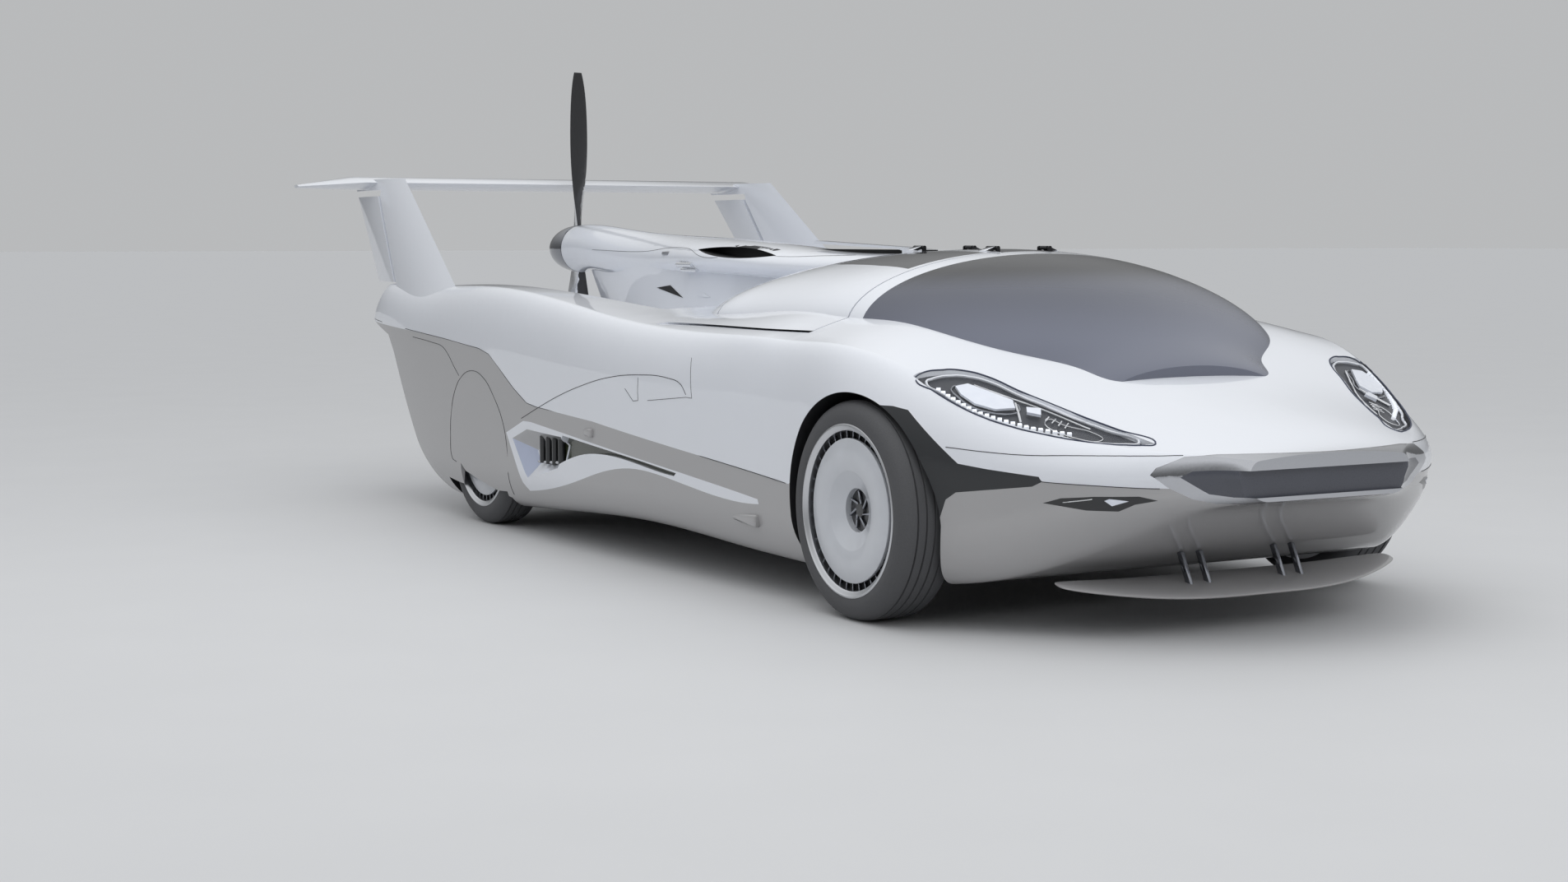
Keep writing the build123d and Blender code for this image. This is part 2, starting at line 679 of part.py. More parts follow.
# Propeller: hub, shaft and two twisted blades.
blades = []
for turn in (1, -1):
    with BuildPart() as blade:
        for row in BLADE:
            pitch = radians(row.pitch)
            plane = Plane(
                origin=(0, PROP_Y, PROP_Z + turn * row.radius),
                x_dir=(turn * cos(pitch), sin(pitch), 0), z_dir=(0, 0, turn))
            with BuildSketch(plane):
                with BuildLine():
                    ThreePointArc((-row.chord * 0.45, 0), (0, row.thick * 0.65), (row.chord * 0.55, 0))
                    ThreePointArc((-row.chord * 0.45, 0), (0, -row.thick * 0.35), (row.chord * 0.55, 0))
                make_face()
        loft()
    blades.append(blade.part)

with BuildPart() as propeller:
    with BuildSketch(Plane.XZ.offset(-(NACELLE_END_Y - SHAFT_SEAT + 1))):
        with Locations((0, PROP_Z)):
            Circle(SHAFT_R)
    extrude(amount=-(PROP_Y - NACELLE_END_Y + SHAFT_SEAT))
    with BuildSketch(Plane.XZ.offset(-(PROP_Y - HUB_LENGTH / 2))):
        with Locations((0, PROP_Z)):
            Circle(HUB_R)
    extrude(amount=-HUB_LENGTH)
    for part in blades:
        add(part)
write(propeller.part, "propeller")

with BuildPart() as spinner:
    with BuildSketch(Plane.YZ):
        with BuildLine():
            base_y = NACELLE_END_Y + SPINNER_GAP
            Line((base_y, PROP_Z), (base_y, PROP_Z + NACELLE_R))
            EllipticalCenterArc((base_y, PROP_Z), SPINNER_LENGTH, NACELLE_R, start_angle=0, arc_size=90)
            Line((base_y, PROP_Z), (base_y + SPINNER_LENGTH, PROP_Z))
        make_face()
    revolve(axis=Axis((0, 0, PROP_Z), (0, 1, 0)))
    add(propeller.part, mode=Mode.SUBTRACT)
write(spinner.part, "spinner")


# Tailplane: one lens section carried across the span, with raked tips.
with BuildPart() as tail_foil:
    for row in TAIL:
        plane = Plane(origin=(row.x, 0, row.z), x_dir=(0, 1, 0), z_dir=(1, 0, 0))
        with BuildSketch(plane):
            with BuildLine():
                middle = (row.front_y + row.rear_y) / 2
                ThreePointArc((row.front_y, 0), (middle, row.thick / 2), (row.rear_y, 0))
                ThreePointArc((row.front_y, 0), (middle, -row.thick / 2), (row.rear_y, 0))
            make_face()
    loft(ruled=True)

with BuildPart() as elevator:
    add(tail_foil.part & block(-ELEVATOR_X, ELEVATOR_X, ELEVATOR_HINGE_Y, BEHIND, DECK_Z, SKY))
    with BuildSketch(Plane.YZ.offset(-ELEVATOR_X)):
        with Locations((ELEVATOR_HINGE_Y, TAIL_Z)):
            Circle(ELEVATOR_NOSE_R)
    extrude(amount=2 * ELEVATOR_X)
    add([disc(side * (ELEVATOR_X - ELEVATOR_PIN), side * ELEVATOR_X, ELEVATOR_HINGE_Y, TAIL_Z,
              ELEVATOR_PIN_R + PIN_FIT) for side in both_sides], mode=Mode.SUBTRACT)
with BuildPart() as tailplane:
    bay = ELEVATOR_X + MOVING_GAP
    add(tail_foil.part)
    add([block(-bay, bay, ELEVATOR_HINGE_Y, BEHIND, DECK_Z, SKY),
         disc(-bay, bay, ELEVATOR_HINGE_Y, TAIL_Z, ELEVATOR_GROOVE_R)], mode=Mode.SUBTRACT)
    add([disc(side * (ELEVATOR_X - ELEVATOR_PIN + 1), side * bay, ELEVATOR_HINGE_Y, TAIL_Z, ELEVATOR_PIN_R)
         for side in both_sides])

# Fins and rudders.
fin_parts = []
for name, side in SIDES.items():
    with BuildPart() as fin_foil:
        for row in FIN:
            plane = Plane(origin=(side * row.x, 0, row.z), x_dir=(0, 1, 0), z_dir=(0, 0, 1))
            with BuildSketch(plane):
                with BuildLine():
                    middle = row.front_y + (row.rear_y - row.front_y) * 0.5
                    ThreePointArc((row.front_y, 0), (middle, row.thick / 2), (row.rear_y, 0))
                    ThreePointArc((row.front_y, 0), (middle, -row.thick / 2), (row.rear_y, 0))
                make_face()
        loft(ruled=True)
    low, high, line = hinge_line(side)
    rudder_side = side_prism([
        (HINGE_LOW[1], HINGE_LOW[2]), (HINGE_HIGH[1], HINGE_HIGH[2]), (BEHIND, HINGE_HIGH[2]),
        (BEHIND, HINGE_LOW[2])])
    gap_low = HINGE_LOW[2] - RUDDER_FOOT_GAP
    gap_front = HINGE_HIGH[1] - RUDDER_CLEAR
    gap_side = side_prism([
        (HINGE_LOW[1] - RUDDER_CLEAR - RUDDER_FOOT_GAP, gap_low), (gap_front, HINGE_HIGH[2]),
        (gap_front, RUDDER_GAP_TOP), (BEHIND, RUDDER_GAP_TOP), (BEHIND, gap_low)])
    with BuildPart() as rudder:
        with BuildSketch(Plane(origin=low, z_dir=line)):
            Circle(RUDDER_NOSE_R)
        extrude(amount=(high - low).length)
        add([fin_foil.part & rudder_side, rudder_pin(side, RUDDER_PIN_R)])
    write(rudder.part, f"rudder_{name}")
    with BuildPart() as fin:
        add(fin_foil.part)
        add([gap_side, tail_foil.part, upper_body.part, *rudder_bores], mode=Mode.SUBTRACT)
    fin_parts.append(fin.part.solids().sort_by(SortBy.VOLUME)[-1])
with BuildPart() as fins:
    for part in fin_parts:
        add(part)
write(fins.part, "fins")
write(tailplane.part, "tailplane")
write(elevator.part, "elevator")


def wheel_parts(side, axle_x, axle_y, width):
    """Tyre and wheel about an axle along X, outer face away from the car."""
    turn = Axis((0, axle_y, TYRE_R), (1, 0, 0))
    outer = axle_x + width / 2
    inner = axle_x - width / 2
    face = outer - FACE_INSET
    bore_top = face - HUB_FLOOR - HUB_WEB
    plane = Plane(origin=(0, axle_y, TYRE_R), x_dir=(side, 0, 0), z_dir=(0, -side, 0))
    with BuildPart() as tyre:
        with BuildSketch(plane):
            with BuildLine():
                Polyline((inner, RIM_R), (inner, TYRE_R - SHOULDER), (inner + SHOULDER, TYRE_R),
                         (outer - SHOULDER, TYRE_R), (outer, TYRE_R - SHOULDER), (outer, RIM_R), close=True)
            make_face()
        revolve(axis=turn)
    with BuildPart() as wheel:
        with BuildSketch(plane):
            with BuildLine():
                back = face - DISC_THICK
                Polyline(
                    (inner + RIM_INSET, RIM_R), (outer - RIM_INSET, RIM_R), (outer - RIM_INSET, LIP_R),
                    (face - RING_DEPTH, LIP_R), (face - RING_DEPTH, DISC_R), (face, DISC_R), (face, CONE_R),
                    (face - CONE_DEPTH, HUB_R_OUT), (face - HUB_FLOOR, HUB_R_OUT), (face - HUB_FLOOR, 0),
                    (bore_top, 0), (bore_top, SPINDLE_R + SPINDLE_FIT),
                    (face - HUB_DEPTH, SPINDLE_R + SPINDLE_FIT), (face - HUB_DEPTH, HUB_R_OUT),
                    (back - CONE_DEPTH, HUB_R_OUT + DISC_THICK), (back, CONE_R + DISC_THICK), (back, LIP_R),
                    (inner + RIM_INSET, LIP_R), close=True)
            make_face()
        revolve(axis=turn)
        with BuildSketch(Plane(origin=(side * face, axle_y, TYRE_R), x_dir=(0, 1, 0), z_dir=(side, 0, 0))):
            with PolarLocations((DISC_R + LIP_R) / 2, SLOTS):
                Rectangle(LIP_R - DISC_R - 2, SLOT_WIDTH)
        extrude(amount=-(DISC_THICK + 1), mode=Mode.SUBTRACT)
    return tyre.part, wheel.part


for name, side in SIDES.items():
    for end, axle_x, axle_y, width in (
            ("front", FRONT_WHEEL_X, FRONT_AXLE_Y, FRONT_TYRE_WIDTH),
            ("rear", REAR_WHEEL_X, REAR_AXLE_Y, REAR_TYRE_WIDTH)):
        tyre_part, wheel_part = wheel_parts(side, axle_x, axle_y, width)
        write(tyre_part, f"tyre_{end}_{name}")
        write(wheel_part, f"wheel_{end}_{name}")

    face = FRONT_WHEEL_X + FRONT_TYRE_WIDTH / 2 - FACE_INSET
    spindle_end = face - HUB_FLOOR - HUB_WEB - 1
    with BuildPart() as knuckle:
        with BuildSketch(Plane.YZ.offset(side * (KINGPIN_X - KNUCKLE_THICK / 2))):
            with Locations((FRONT_AXLE_Y, TYRE_R)):
                RectangleRounded(90, 2 * KNUCKLE_HALF, 20)
                Circle(66)
        extrude(amount=side * KNUCKLE_THICK)
        with BuildSketch(Plane.YZ.offset(side * (KINGPIN_X + KNUCKLE_THICK / 2))):
            with Locations((FRONT_AXLE_Y, TYRE_R)):
                Circle(SPINDLE_R)
        extrude(amount=side * (spindle_end - KINGPIN_X - KNUCKLE_THICK / 2))
        with BuildSketch(Plane.XY.offset(TYRE_R - KNUCKLE_HALF - ARM_THICK)):
            with Locations((side * KINGPIN_X, FRONT_AXLE_Y)):
                Circle(KINGPIN_R)
        extrude(amount=2 * (KNUCKLE_HALF + ARM_THICK))
    write(knuckle.part, f"knuckle_{name}")

with BuildPart() as suspension_arms:
    for side in both_sides:
        for level in (-1, 1):
            seat = TYRE_R + level * (KNUCKLE_HALF + SEAT)
            with BuildSketch(Plane.XY.offset(seat)):
                root_x = side * ARCH_INNER_X
                tip_x = side * (KINGPIN_X + 24)
                with BuildLine():
                    Polyline((root_x, FRONT_AXLE_Y - 130), (root_x, FRONT_AXLE_Y + 130),
                             (tip_x, FRONT_AXLE_Y + 24), (tip_x, FRONT_AXLE_Y - 24), close=True)
                make_face()
                with BuildLine():
                    Polyline((root_x, FRONT_AXLE_Y - 90), (root_x, FRONT_AXLE_Y + 90),
                             (side * (KINGPIN_X - 70), FRONT_AXLE_Y), close=True)
                make_face(mode=Mode.SUBTRACT)
                with Locations((side * KINGPIN_X, FRONT_AXLE_Y)):
                    Circle(KINGPIN_R + PIN_FIT, mode=Mode.SUBTRACT)
            extrude(amount=level * ARM_THICK)
write(suspension_arms.part, "suspension_arms")

with BuildPart() as rear_axles:
    for side in both_sides:
        rear_face = REAR_WHEEL_X + REAR_TYRE_WIDTH / 2 - FACE_INSET
        add(disc(side * REAR_WELL_INNER_X, side * (REAR_WELL_INNER_X + 14), REAR_AXLE_Y, TYRE_R, 90))
        add(disc(side * (REAR_WELL_INNER_X + 14), side * (rear_face - HUB_DEPTH - 1),
                 REAR_AXLE_Y, TYRE_R, 40))
        add(disc(side * (rear_face - HUB_DEPTH - 1), side * (rear_face - HUB_FLOOR - HUB_WEB - 1),
                 REAR_AXLE_Y, TYRE_R, SPINDLE_R))
write(rear_axles.part, "rear_axles")

# Front wing on its four links.
with BuildPart() as front_wing:
    for row in FRONT_WING:
        plane = Plane(origin=(row.x, 0, row.z), x_dir=(0, 1, 0), z_dir=(1, 0, 0))
        with BuildSketch(plane):
            with BuildLine():
                middle = (row.front_y + row.rear_y) / 2
                ThreePointArc((row.front_y, 0), (middle, row.thick / 2), (row.rear_y, 0))
                ThreePointArc((row.front_y, 0), (middle, -row.thick / 2), (row.rear_y, 0))
            make_face()
    loft()
write(front_wing.part, "front_wing")

with BuildPart() as wing_links:
    for x in WING_LINK_X:
        with BuildSketch(Plane.XY.offset(WING_LINK_Z)):
            for side in both_sides:
                with Locations((side * x, WING_LINK_Y)):
                    SlotOverall(34, 14, rotation=90)
        extrude(amount=200)
    add(outer_hull, mode=Mode.SUBTRACT)
    add(front_wing.part, mode=Mode.SUBTRACT)
    add(block(-400, 400, -2600, -2300, 0, 290), mode=Mode.INTERSECT)
write(wing_links.part, "front_wing_links")

# Side recess frames: a slot runs into a funnel that narrows to a grille of upright slats.
with BuildPart() as slot_zone:
    with BuildSketch(Plane.YZ):
        with BuildLine():
            Polyline(*SIDE_SLOT_TOP, SIDE_SLOT_LOW[0])
            Spline(*SIDE_SLOT_LOW)
            Line(SIDE_SLOT_LOW[-1], SIDE_SLOT_TOP[0])
        make_face()
    extrude(amount=REACH, both=True)
    add(plan_prism(SIDE_FLOOR), mode=Mode.INTERSECT)

with BuildPart() as funnels:
    for side in both_sides:
        for x, outline in ((SIDE_TRIM_X + SIDE_FLOOR, GRILLE), (SIDE_TRIM_X + FUNNEL_DEPTH, FUNNEL_MOUTH)):
            with BuildSketch(Plane.YZ.offset(side * x)):
                with BuildLine():
                    Polyline(*outline, close=True)
                make_face()
        loft(ruled=True)

with BuildPart() as side_trims:
    add(outer_hull & trim_outline.part)
    add([slot_zone.part, funnels.part], mode=Mode.SUBTRACT)
write(side_trims.part, "side_trims")

with BuildPart() as side_slats:
    x = SIDE_TRIM_X + SIDE_FLOOR + SLAT_R + SEAT
    with BuildSketch(Plane.XY.offset(GRILLE[-1][1])):
        with Locations(*[(side * x, SLAT_Y + n * SLAT_PITCH) for side in both_sides for n in range(SLATS)]):
            Circle(SLAT_R)
    extrude(amount=GRILLE[2][1] - GRILLE[-1][1])
    add(funnels.part, mode=Mode.INTERSECT)
write(side_slats.part, "side_slats")

with BuildPart() as roof_scoop:
    with BuildSketch(Plane.YZ):
        with BuildLine():
            Polyline(*SCOOP, close=True)
        make_face()
    extrude(amount=SCOOP_HALF, both=True)
    with BuildSketch(Plane.YZ):
        with BuildLine():
            Polyline(*SCOOP_MOUTH, close=True)
        make_face()
    extrude(amount=SCOOP_HALF, both=True, mode=Mode.SUBTRACT)
    add(block(-SCOOP_WEB, SCOOP_WEB, SCOOP[0][0], SCOOP[-1][0], SCOOP[0][1], SCOOP_ROOF_Z))
    add([outer_dome, spine_loft.part], mode=Mode.SUBTRACT)
write(roof_scoop.part, "roof_scoop")

# Cabin fittings.
with BuildPart() as seats:
    for side in both_sides:
        with BuildSketch(Plane.YZ.offset(side * SEAT_X - SEAT_WIDTH / 2)):
            with BuildLine():
                Polyline(*SEAT_SIDE, close=True)
            make_face()
            fillet([v for v in vertices() if v.Y > 300], 28)
        extrude(amount=SEAT_WIDTH)
    add(inner_hull, mode=Mode.INTERSECT)
write(seats.part, "seats")

with BuildPart() as dashboard:
    with BuildSketch(Plane.YZ.offset(-DASH_X)):
        with BuildLine():
            Polyline((-1990, 560), (-1990, 690), (-1800, 770), (-1560, 790), (-1520, 740), (-1560, 640),
                     (-1700, 560), close=True)
        make_face()
    extrude(amount=2 * DASH_X)
    add(inner_hull, mode=Mode.INTERSECT)
write(dashboard.part, "dashboard")

with BuildPart() as centre_console:
    with BuildSketch(Plane.YZ.offset(-70)):
        with BuildLine():
            Polyline((-1790, 100), (-1790, 560), (-1640, 560), (-1450, 400), (-700, 380), (-600, 100),
                     close=True)
        make_face()
    extrude(amount=140)
    add(inner_hull, mode=Mode.INTERSECT)
write(centre_console.part, "centre_console")

with BuildPart() as steering_wheel:
    wheel_plane = Plane(origin=(SEAT_X, -1400, 720), x_dir=(1, 0, 0), z_dir=(0, 0.94, 0.34))
    with BuildSketch(wheel_plane):
        Circle(165)
        Circle(135, mode=Mode.SUBTRACT)
        Rectangle(280, 46)
        with Locations((0, 60)):
            Rectangle(340, 220, mode=Mode.SUBTRACT)
    extrude(amount=12, both=True)
    with BuildSketch(wheel_plane):
        Circle(30)
    extrude(amount=-200)
    add(dashboard.part, mode=Mode.SUBTRACT)
write(steering_wheel.part.solids().sort_by(SortBy.VOLUME)[-1], "steering_wheel")
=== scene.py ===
import json
import math

import bpy
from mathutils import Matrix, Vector

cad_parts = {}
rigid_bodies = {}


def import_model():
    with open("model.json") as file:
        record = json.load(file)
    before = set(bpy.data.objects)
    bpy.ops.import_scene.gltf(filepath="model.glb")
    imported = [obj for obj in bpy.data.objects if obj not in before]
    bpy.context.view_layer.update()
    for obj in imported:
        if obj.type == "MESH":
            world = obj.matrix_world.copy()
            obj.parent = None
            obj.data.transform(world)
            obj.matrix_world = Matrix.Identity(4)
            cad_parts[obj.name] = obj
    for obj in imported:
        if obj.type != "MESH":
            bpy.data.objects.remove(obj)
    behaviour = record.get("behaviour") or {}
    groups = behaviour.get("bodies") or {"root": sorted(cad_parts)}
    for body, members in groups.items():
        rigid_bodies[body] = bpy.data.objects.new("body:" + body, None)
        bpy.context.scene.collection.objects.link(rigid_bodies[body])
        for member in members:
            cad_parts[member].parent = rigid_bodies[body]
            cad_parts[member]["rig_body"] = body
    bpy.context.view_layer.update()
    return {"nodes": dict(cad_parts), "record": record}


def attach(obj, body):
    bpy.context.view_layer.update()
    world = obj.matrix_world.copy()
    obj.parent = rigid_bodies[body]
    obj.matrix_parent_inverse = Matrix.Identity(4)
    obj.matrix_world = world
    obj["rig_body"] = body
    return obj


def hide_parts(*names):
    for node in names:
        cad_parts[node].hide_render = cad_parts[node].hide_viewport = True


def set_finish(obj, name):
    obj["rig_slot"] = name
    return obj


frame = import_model()
nodes = frame["nodes"]

SIDES = {"left": 1, "right": -1}
WHEEL_Z = 0.339
FRONT_AXLE_Y = -1.805
REAR_AXLE_Y = 1.042


# Shader arithmetic and finishes.
class Value:
    """A shader socket that takes part in Python arithmetic."""

    def __init__(self, finish, socket):
        self.finish = finish
        self.socket = socket

    def math(self, operation, *others):
        return self.finish.node("Math", {"operation": operation}, dict(enumerate((self, *others))))

    def flipped(self, operation, other):
        return self.finish.node("Math", {"operation": operation}, {0: other, 1: self})

    def __add__(self, other):
        return self.math("ADD", other)

    def __sub__(self, other):
        return self.math("SUBTRACT", other)

    def __mul__(self, other):
        return self.math("MULTIPLY", other)

    def __gt__(self, other):
        return self.math("GREATER_THAN", other)

    def __lt__(self, other):
        return self.math("LESS_THAN", other)

    def __abs__(self):
        return self.math("ABSOLUTE")

    def __rsub__(self, other):
        return self.flipped("SUBTRACT", other)

    __radd__ = __add__
    __rmul__ = __mul__

    def ramp(self, low, high):
        """0 below low, 1 above high, smooth between."""
        ends = {"Value": self, "From Min": low, "From Max": high}
        return self.finish.node("MapRange", {"interpolation_type": "SMOOTHSTEP"}, ends)

    def union(self, other):
        return self.math("MAXIMUM", other)

    def both(self, other):
        return self.math("MINIMUM", other)


class Finish:
    """One material, built round a Principled shader."""

    def __init__(self, name, **sockets):
        self.material = bpy.data.materials.new(name)
        self.material.use_nodes = True
        self.tree = self.material.node_tree
        self.shader = self.tree.nodes["Principled BSDF"]
        self.set(**sockets)

    def put(self, socket, value):
        if isinstance(value, Value):
            self.tree.links.new(value.socket, socket)
        elif socket.type == "RGBA" and len(value) == 3:
            socket.default_value = (*value, 1.0)
        else:
            socket.default_value = value

    def set(self, **sockets):
        for name, value in sockets.items():
            self.put(self.shader.inputs[name.replace("_", " ")], value)
        return self

    def node(self, kind, settings=None, inputs=None, output=0):
        made = self.tree.nodes.new("ShaderNode" + kind)
        for name, value in (settings or {}).items():
            setattr(made, name, value)
        for name, value in (inputs or {}).items():
            self.put(made.inputs[name], value)
        return Value(self, made.outputs[output])

    def place(self):
        return self.node("TexCoord", output="Object")

    def axes(self):
        place = self.place()
        return [self.node("SeparateXYZ", inputs={0: place}, output=i) for i in range(3)]

    def noise(self, scale, detail=3.0, stretch=(1, 1, 1)):
        point = self.node("Mapping", inputs={0: self.place(), "Scale": stretch})
        return self.node("TexNoise", inputs={"Vector": point, "Scale": scale, "Detail": detail})

    def mix(self, factor, first, second):
        made = self.tree.nodes.new("ShaderNodeMix")
        made.data_type = "RGBA"
        for index, value in ((0, factor), (6, first), (7, second)):
            self.put(made.inputs[index], value)
        return Value(self, made.outputs[2])

    def bump(self, height, distance):
        raised = self.node("Bump", inputs={"Height": height, "Distance": distance, "Strength": 1.0})
        return self.set(Normal=raised)

    def colour(self):
        """The colour given so far."""
        return Value(self, self.shader.inputs["Base Color"].links[0].from_socket)

    def scaled(self, value, factor, offset):
        return self.node("Math", {"operation": "MULTIPLY_ADD"}, {0: value, 1: factor, 2: offset})


FRONT_WELL_R = 0.3642
REAR_WELL_R = 0.3632
REAR_WELL_X = 1.0555


def near(axes, axle_y, radius):
    """1 inside a cylinder about an axle."""
    y, z = axes[1] - axle_y, axes[2] - WHEEL_Z
    return (y * y + z * z).math("SQRT") < radius


def paint(name, colour, roughness=0.3, coat=1.0):
    """Car paint: a slightly uneven clear coat over a solid colour, with painted shade inside the wheel wells.
    """
    finish = Finish(name, Coat_Weight=coat, Coat_Roughness=0.04)
    cloud = finish.noise(3.0)
    grain = finish.noise(900.0, 1.0)
    axes = finish.axes()
    front_well = near(axes, FRONT_AXLE_Y, FRONT_WELL_R)
    rear_well = near(axes, REAR_AXLE_Y, REAR_WELL_R).both(abs(axes[0]) < REAR_WELL_X)
    # Painted shade: the paint turns near black inside the wheel wells.
    well_shade = front_well.union(rear_well)
    solid = finish.mix(cloud, [c * 0.97 for c in colour], colour)
    finish.set(
        Base_Color=finish.mix(well_shade, solid, (0.018, 0.018, 0.02)),
        Roughness=finish.scaled(grain, 0.08, roughness))
    return finish.bump(grain, 0.00006)


WHITE = (0.80, 0.825, 0.88)
GREY = (0.40, 0.395, 0.40)
BUMPER_SEAM_Z = 0.476
BUMPER_SEAM_RISE = 0.045
BUMPER_CORNER_Y = -2.47
ROOF_STRIP_X = 0.119
ROOF_STRIP_REAR_Y = -0.62
ROOF_STRIP_Z = 1.05

white_paint = paint("white_paint", WHITE)
grey_paint = paint("grey_paint", GREY, 0.34, 0.8)

bumper_paint = paint("bumper_paint", WHITE)
axes = bumper_paint.axes()
slope = axes[2] - (axes[1] - BUMPER_CORNER_Y) * BUMPER_SEAM_RISE
bumper_paint.set(Base_Color=bumper_paint.mix(slope > BUMPER_SEAM_Z, GREY, bumper_paint.colour()))

roof_paint = paint("upper_paint", WHITE)
axes = roof_paint.axes()
strip = (abs(axes[0]) < ROOF_STRIP_X).both(axes[1] < ROOF_STRIP_REAR_Y).both(axes[2] > ROOF_STRIP_Z)
roof_paint.set(Base_Color=roof_paint.mix(strip, roof_paint.colour(), (0.010, 0.010, 0.012)),
               Coat_Weight=1.0 - strip * 0.95)


def moulded(name, colour, roughness, grain_scale=600.0, depth=0.0002, **sockets):
    """Moulded or cast surface with a fine grain."""
    finish = Finish(name, **sockets)
    cloud = finish.noise(6.0)
    grain = finish.noise(grain_scale, 4.0)
    finish.set(
        Base_Color=finish.mix(cloud, [c * 0.85 for c in colour], [min(c * 1.1, 1) for c in colour]),
        Roughness=finish.scaled(grain, 0.15, roughness))
    return finish.bump(grain, depth)


black_trim = moulded("black_trim", (0.022, 0.023, 0.026), 0.38)
seam_rubber = moulded("seam_rubber", (0.03, 0.03, 0.035), 0.6)
# Painted shade: a near-black matte finish for the ring behind the wheels' slots, standing for the shade seen
# through them.
slot_shade_black = moulded("slot_shade_black", (0.012, 0.012, 0.013), 0.8)
# Painted shade: near black for the insides of the nacelle's intake, the roof scoop's pockets and the
# nacelle's recess.
opening_shade = moulded("opening_shade", (0.008, 0.008, 0.009), 0.6)
recess_olive = moulded("recess_dark", (0.035, 0.042, 0.022), 0.12, Coat_Weight=0.6)
slat_black = moulded("slat_black", (0.015, 0.016, 0.018), 0.25, Coat_Weight=0.5)
cabin_plastic = moulded("cabin_plastic", (0.035, 0.035, 0.038), 0.5, 900.0, 0.0003)
panel_dark = moulded("panel_dark", (0.075, 0.08, 0.10), 0.22, 500.0, 0.0001, Coat_Weight=0.4)
lamp_housing = moulded("lamp_housing", (0.020, 0.022, 0.030), 0.4)
composite = moulded("composite", (0.02, 0.02, 0.022), 0.35, 300.0, 0.0001, Coat_Weight=0.4)
engine_cast = moulded("engine_cast", (0.30, 0.30, 0.31), 0.5, 200.0, 0.001, Metallic=0.8)
arch_black = paint("arch_black", (0.024, 0.026, 0.029), 0.38, 0.15)
funnel_grey = moulded("funnel_grey", (0.42, 0.42, 0.43), 0.3, 900.0, 0.00005, Coat_Weight=0.6)
funnel_blue = moulded("funnel_blue", (0.50, 0.55, 0.70), 0.3, 900.0, 0.00005, Coat_Weight=0.6)
gasket_blue = moulded("gasket_blue", (0.03, 0.04, 0.08), 0.4)
disc_paint = moulded("disc_paint", (0.60, 0.62, 0.66), 0.28, 900.0, 0.00005, Coat_Weight=0.5)


def metal(name, colour, roughness, stretch=(1, 1, 1)):
    """Bare or plated metal with faint brushing."""
    finish = Finish(name, Metallic=1.0)
    marks = finish.noise(160.0, 5.0, stretch)
    finish.set(
        Base_Color=finish.mix(marks, [c * 0.93 for c in colour], colour),
        Roughness=finish.scaled(marks, 0.08, roughness))
    return finish.bump(marks, 0.00003)


chrome = metal("chrome", (0.56, 0.57, 0.60), 0.03)
alloy = metal("alloy", (0.66, 0.67, 0.69), 0.28, (1, 6, 6))
bright_alloy = metal("bright_alloy", (0.82, 0.83, 0.85), 0.14)
dark_chrome = metal("dark_chrome", (0.30, 0.31, 0.34), 0.08)
steel = metal("steel", (0.42, 0.43, 0.45), 0.35, (8, 1, 1))

tyre_rubber = Finish("tyre_rubber", Specular_IOR_Level=0.3)
grain = tyre_rubber.noise(260.0, 4.0)
tyre_rubber.set(
    Base_Color=tyre_rubber.mix(grain, (0.075, 0.076, 0.080), (0.105, 0.106, 0.112)),
    Roughness=grain * 0.2 + 0.55)
tyre_rubber.bump(grain, 0.0006)

screen_glass = Finish("screen_glass", Coat_Roughness=0.02, Specular_IOR_Level=0.25)
axes = screen_glass.axes()
haze = screen_glass.noise(1.3, 2.0)
height = axes[2] + axes[1] * 0.06
shade = height.ramp(0.90, 0.98)
# A dark tint with a painted reflection: the glass is coloured lighter and bluer low down and darker higher
# up, darkest in a band along the top.
tint_and_reflection = screen_glass.mix(height.ramp(0.72, 0.93), (0.20, 0.215, 0.27), (0.085, 0.092, 0.12))
hazy = screen_glass.mix(haze * 0.3, tint_and_reflection, (0.24, 0.25, 0.31))
screen_glass.set(
    Base_Color=screen_glass.mix(shade, hazy, (0.012, 0.012, 0.014)),
    Roughness=haze * 0.03 + 0.03, Alpha=shade * 0.12 + 0.84, Coat_Weight=0.3 - shade * 0.3)

roof_glass = Finish("roof_glass", Coat_Weight=0.1, Coat_Roughness=0.02, Specular_IOR_Level=0.3)
smear = roof_glass.noise(4.0)
roof_glass.set(Base_Color=roof_glass.mix(smear, (0.006, 0.006, 0.007), (0.012, 0.012, 0.014)),
               Roughness=smear * 0.04 + 0.06)

lamp_cover = Finish("lamp_cover", Coat_Weight=0.4, Coat_Roughness=0.01, Specular_IOR_Level=0.4)
film = lamp_cover.noise(5.0)
lamp_cover.set(Base_Color=lamp_cover.mix(film, (0.75, 0.80, 0.90), (0.85, 0.88, 0.95)),
               Roughness=film * 0.02 + 0.02, Alpha=film * 0.02 + 0.04)

lens_white = Finish("lens_white", Coat_Weight=1.0, Coat_Roughness=0.02)
ripple = lens_white.noise(40.0, 2.0)
lens_white.set(Base_Color=lens_white.mix(ripple, (0.72, 0.76, 0.86), (0.86, 0.89, 0.96)),
               Roughness=ripple * 0.1 + 0.08)

led_white = Finish("led_white", Emission_Strength=0.35)
glow = led_white.noise(300.0, 1.0)
led_white.set(Base_Color=led_white.mix(glow, (0.80, 0.85, 0.95), (0.92, 0.95, 1.0)),
              Emission_Color=led_white.mix(glow, (0.85, 0.9, 1.0), (1.0, 1.0, 1.0)),
              Roughness=glow * 0.1 + 0.15)

lens_red = Finish("lens_red", Coat_Weight=1.0, Coat_Roughness=0.02)
ribs = lens_red.noise(500.0, 1.0, (1, 0.1, 1))
lens_red.set(Base_Color=lens_red.mix(ribs, (0.22, 0.006, 0.008), (0.42, 0.012, 0.015)),
             Roughness=ribs * 0.1 + 0.1)
lens_red.bump(ribs, 0.0004)

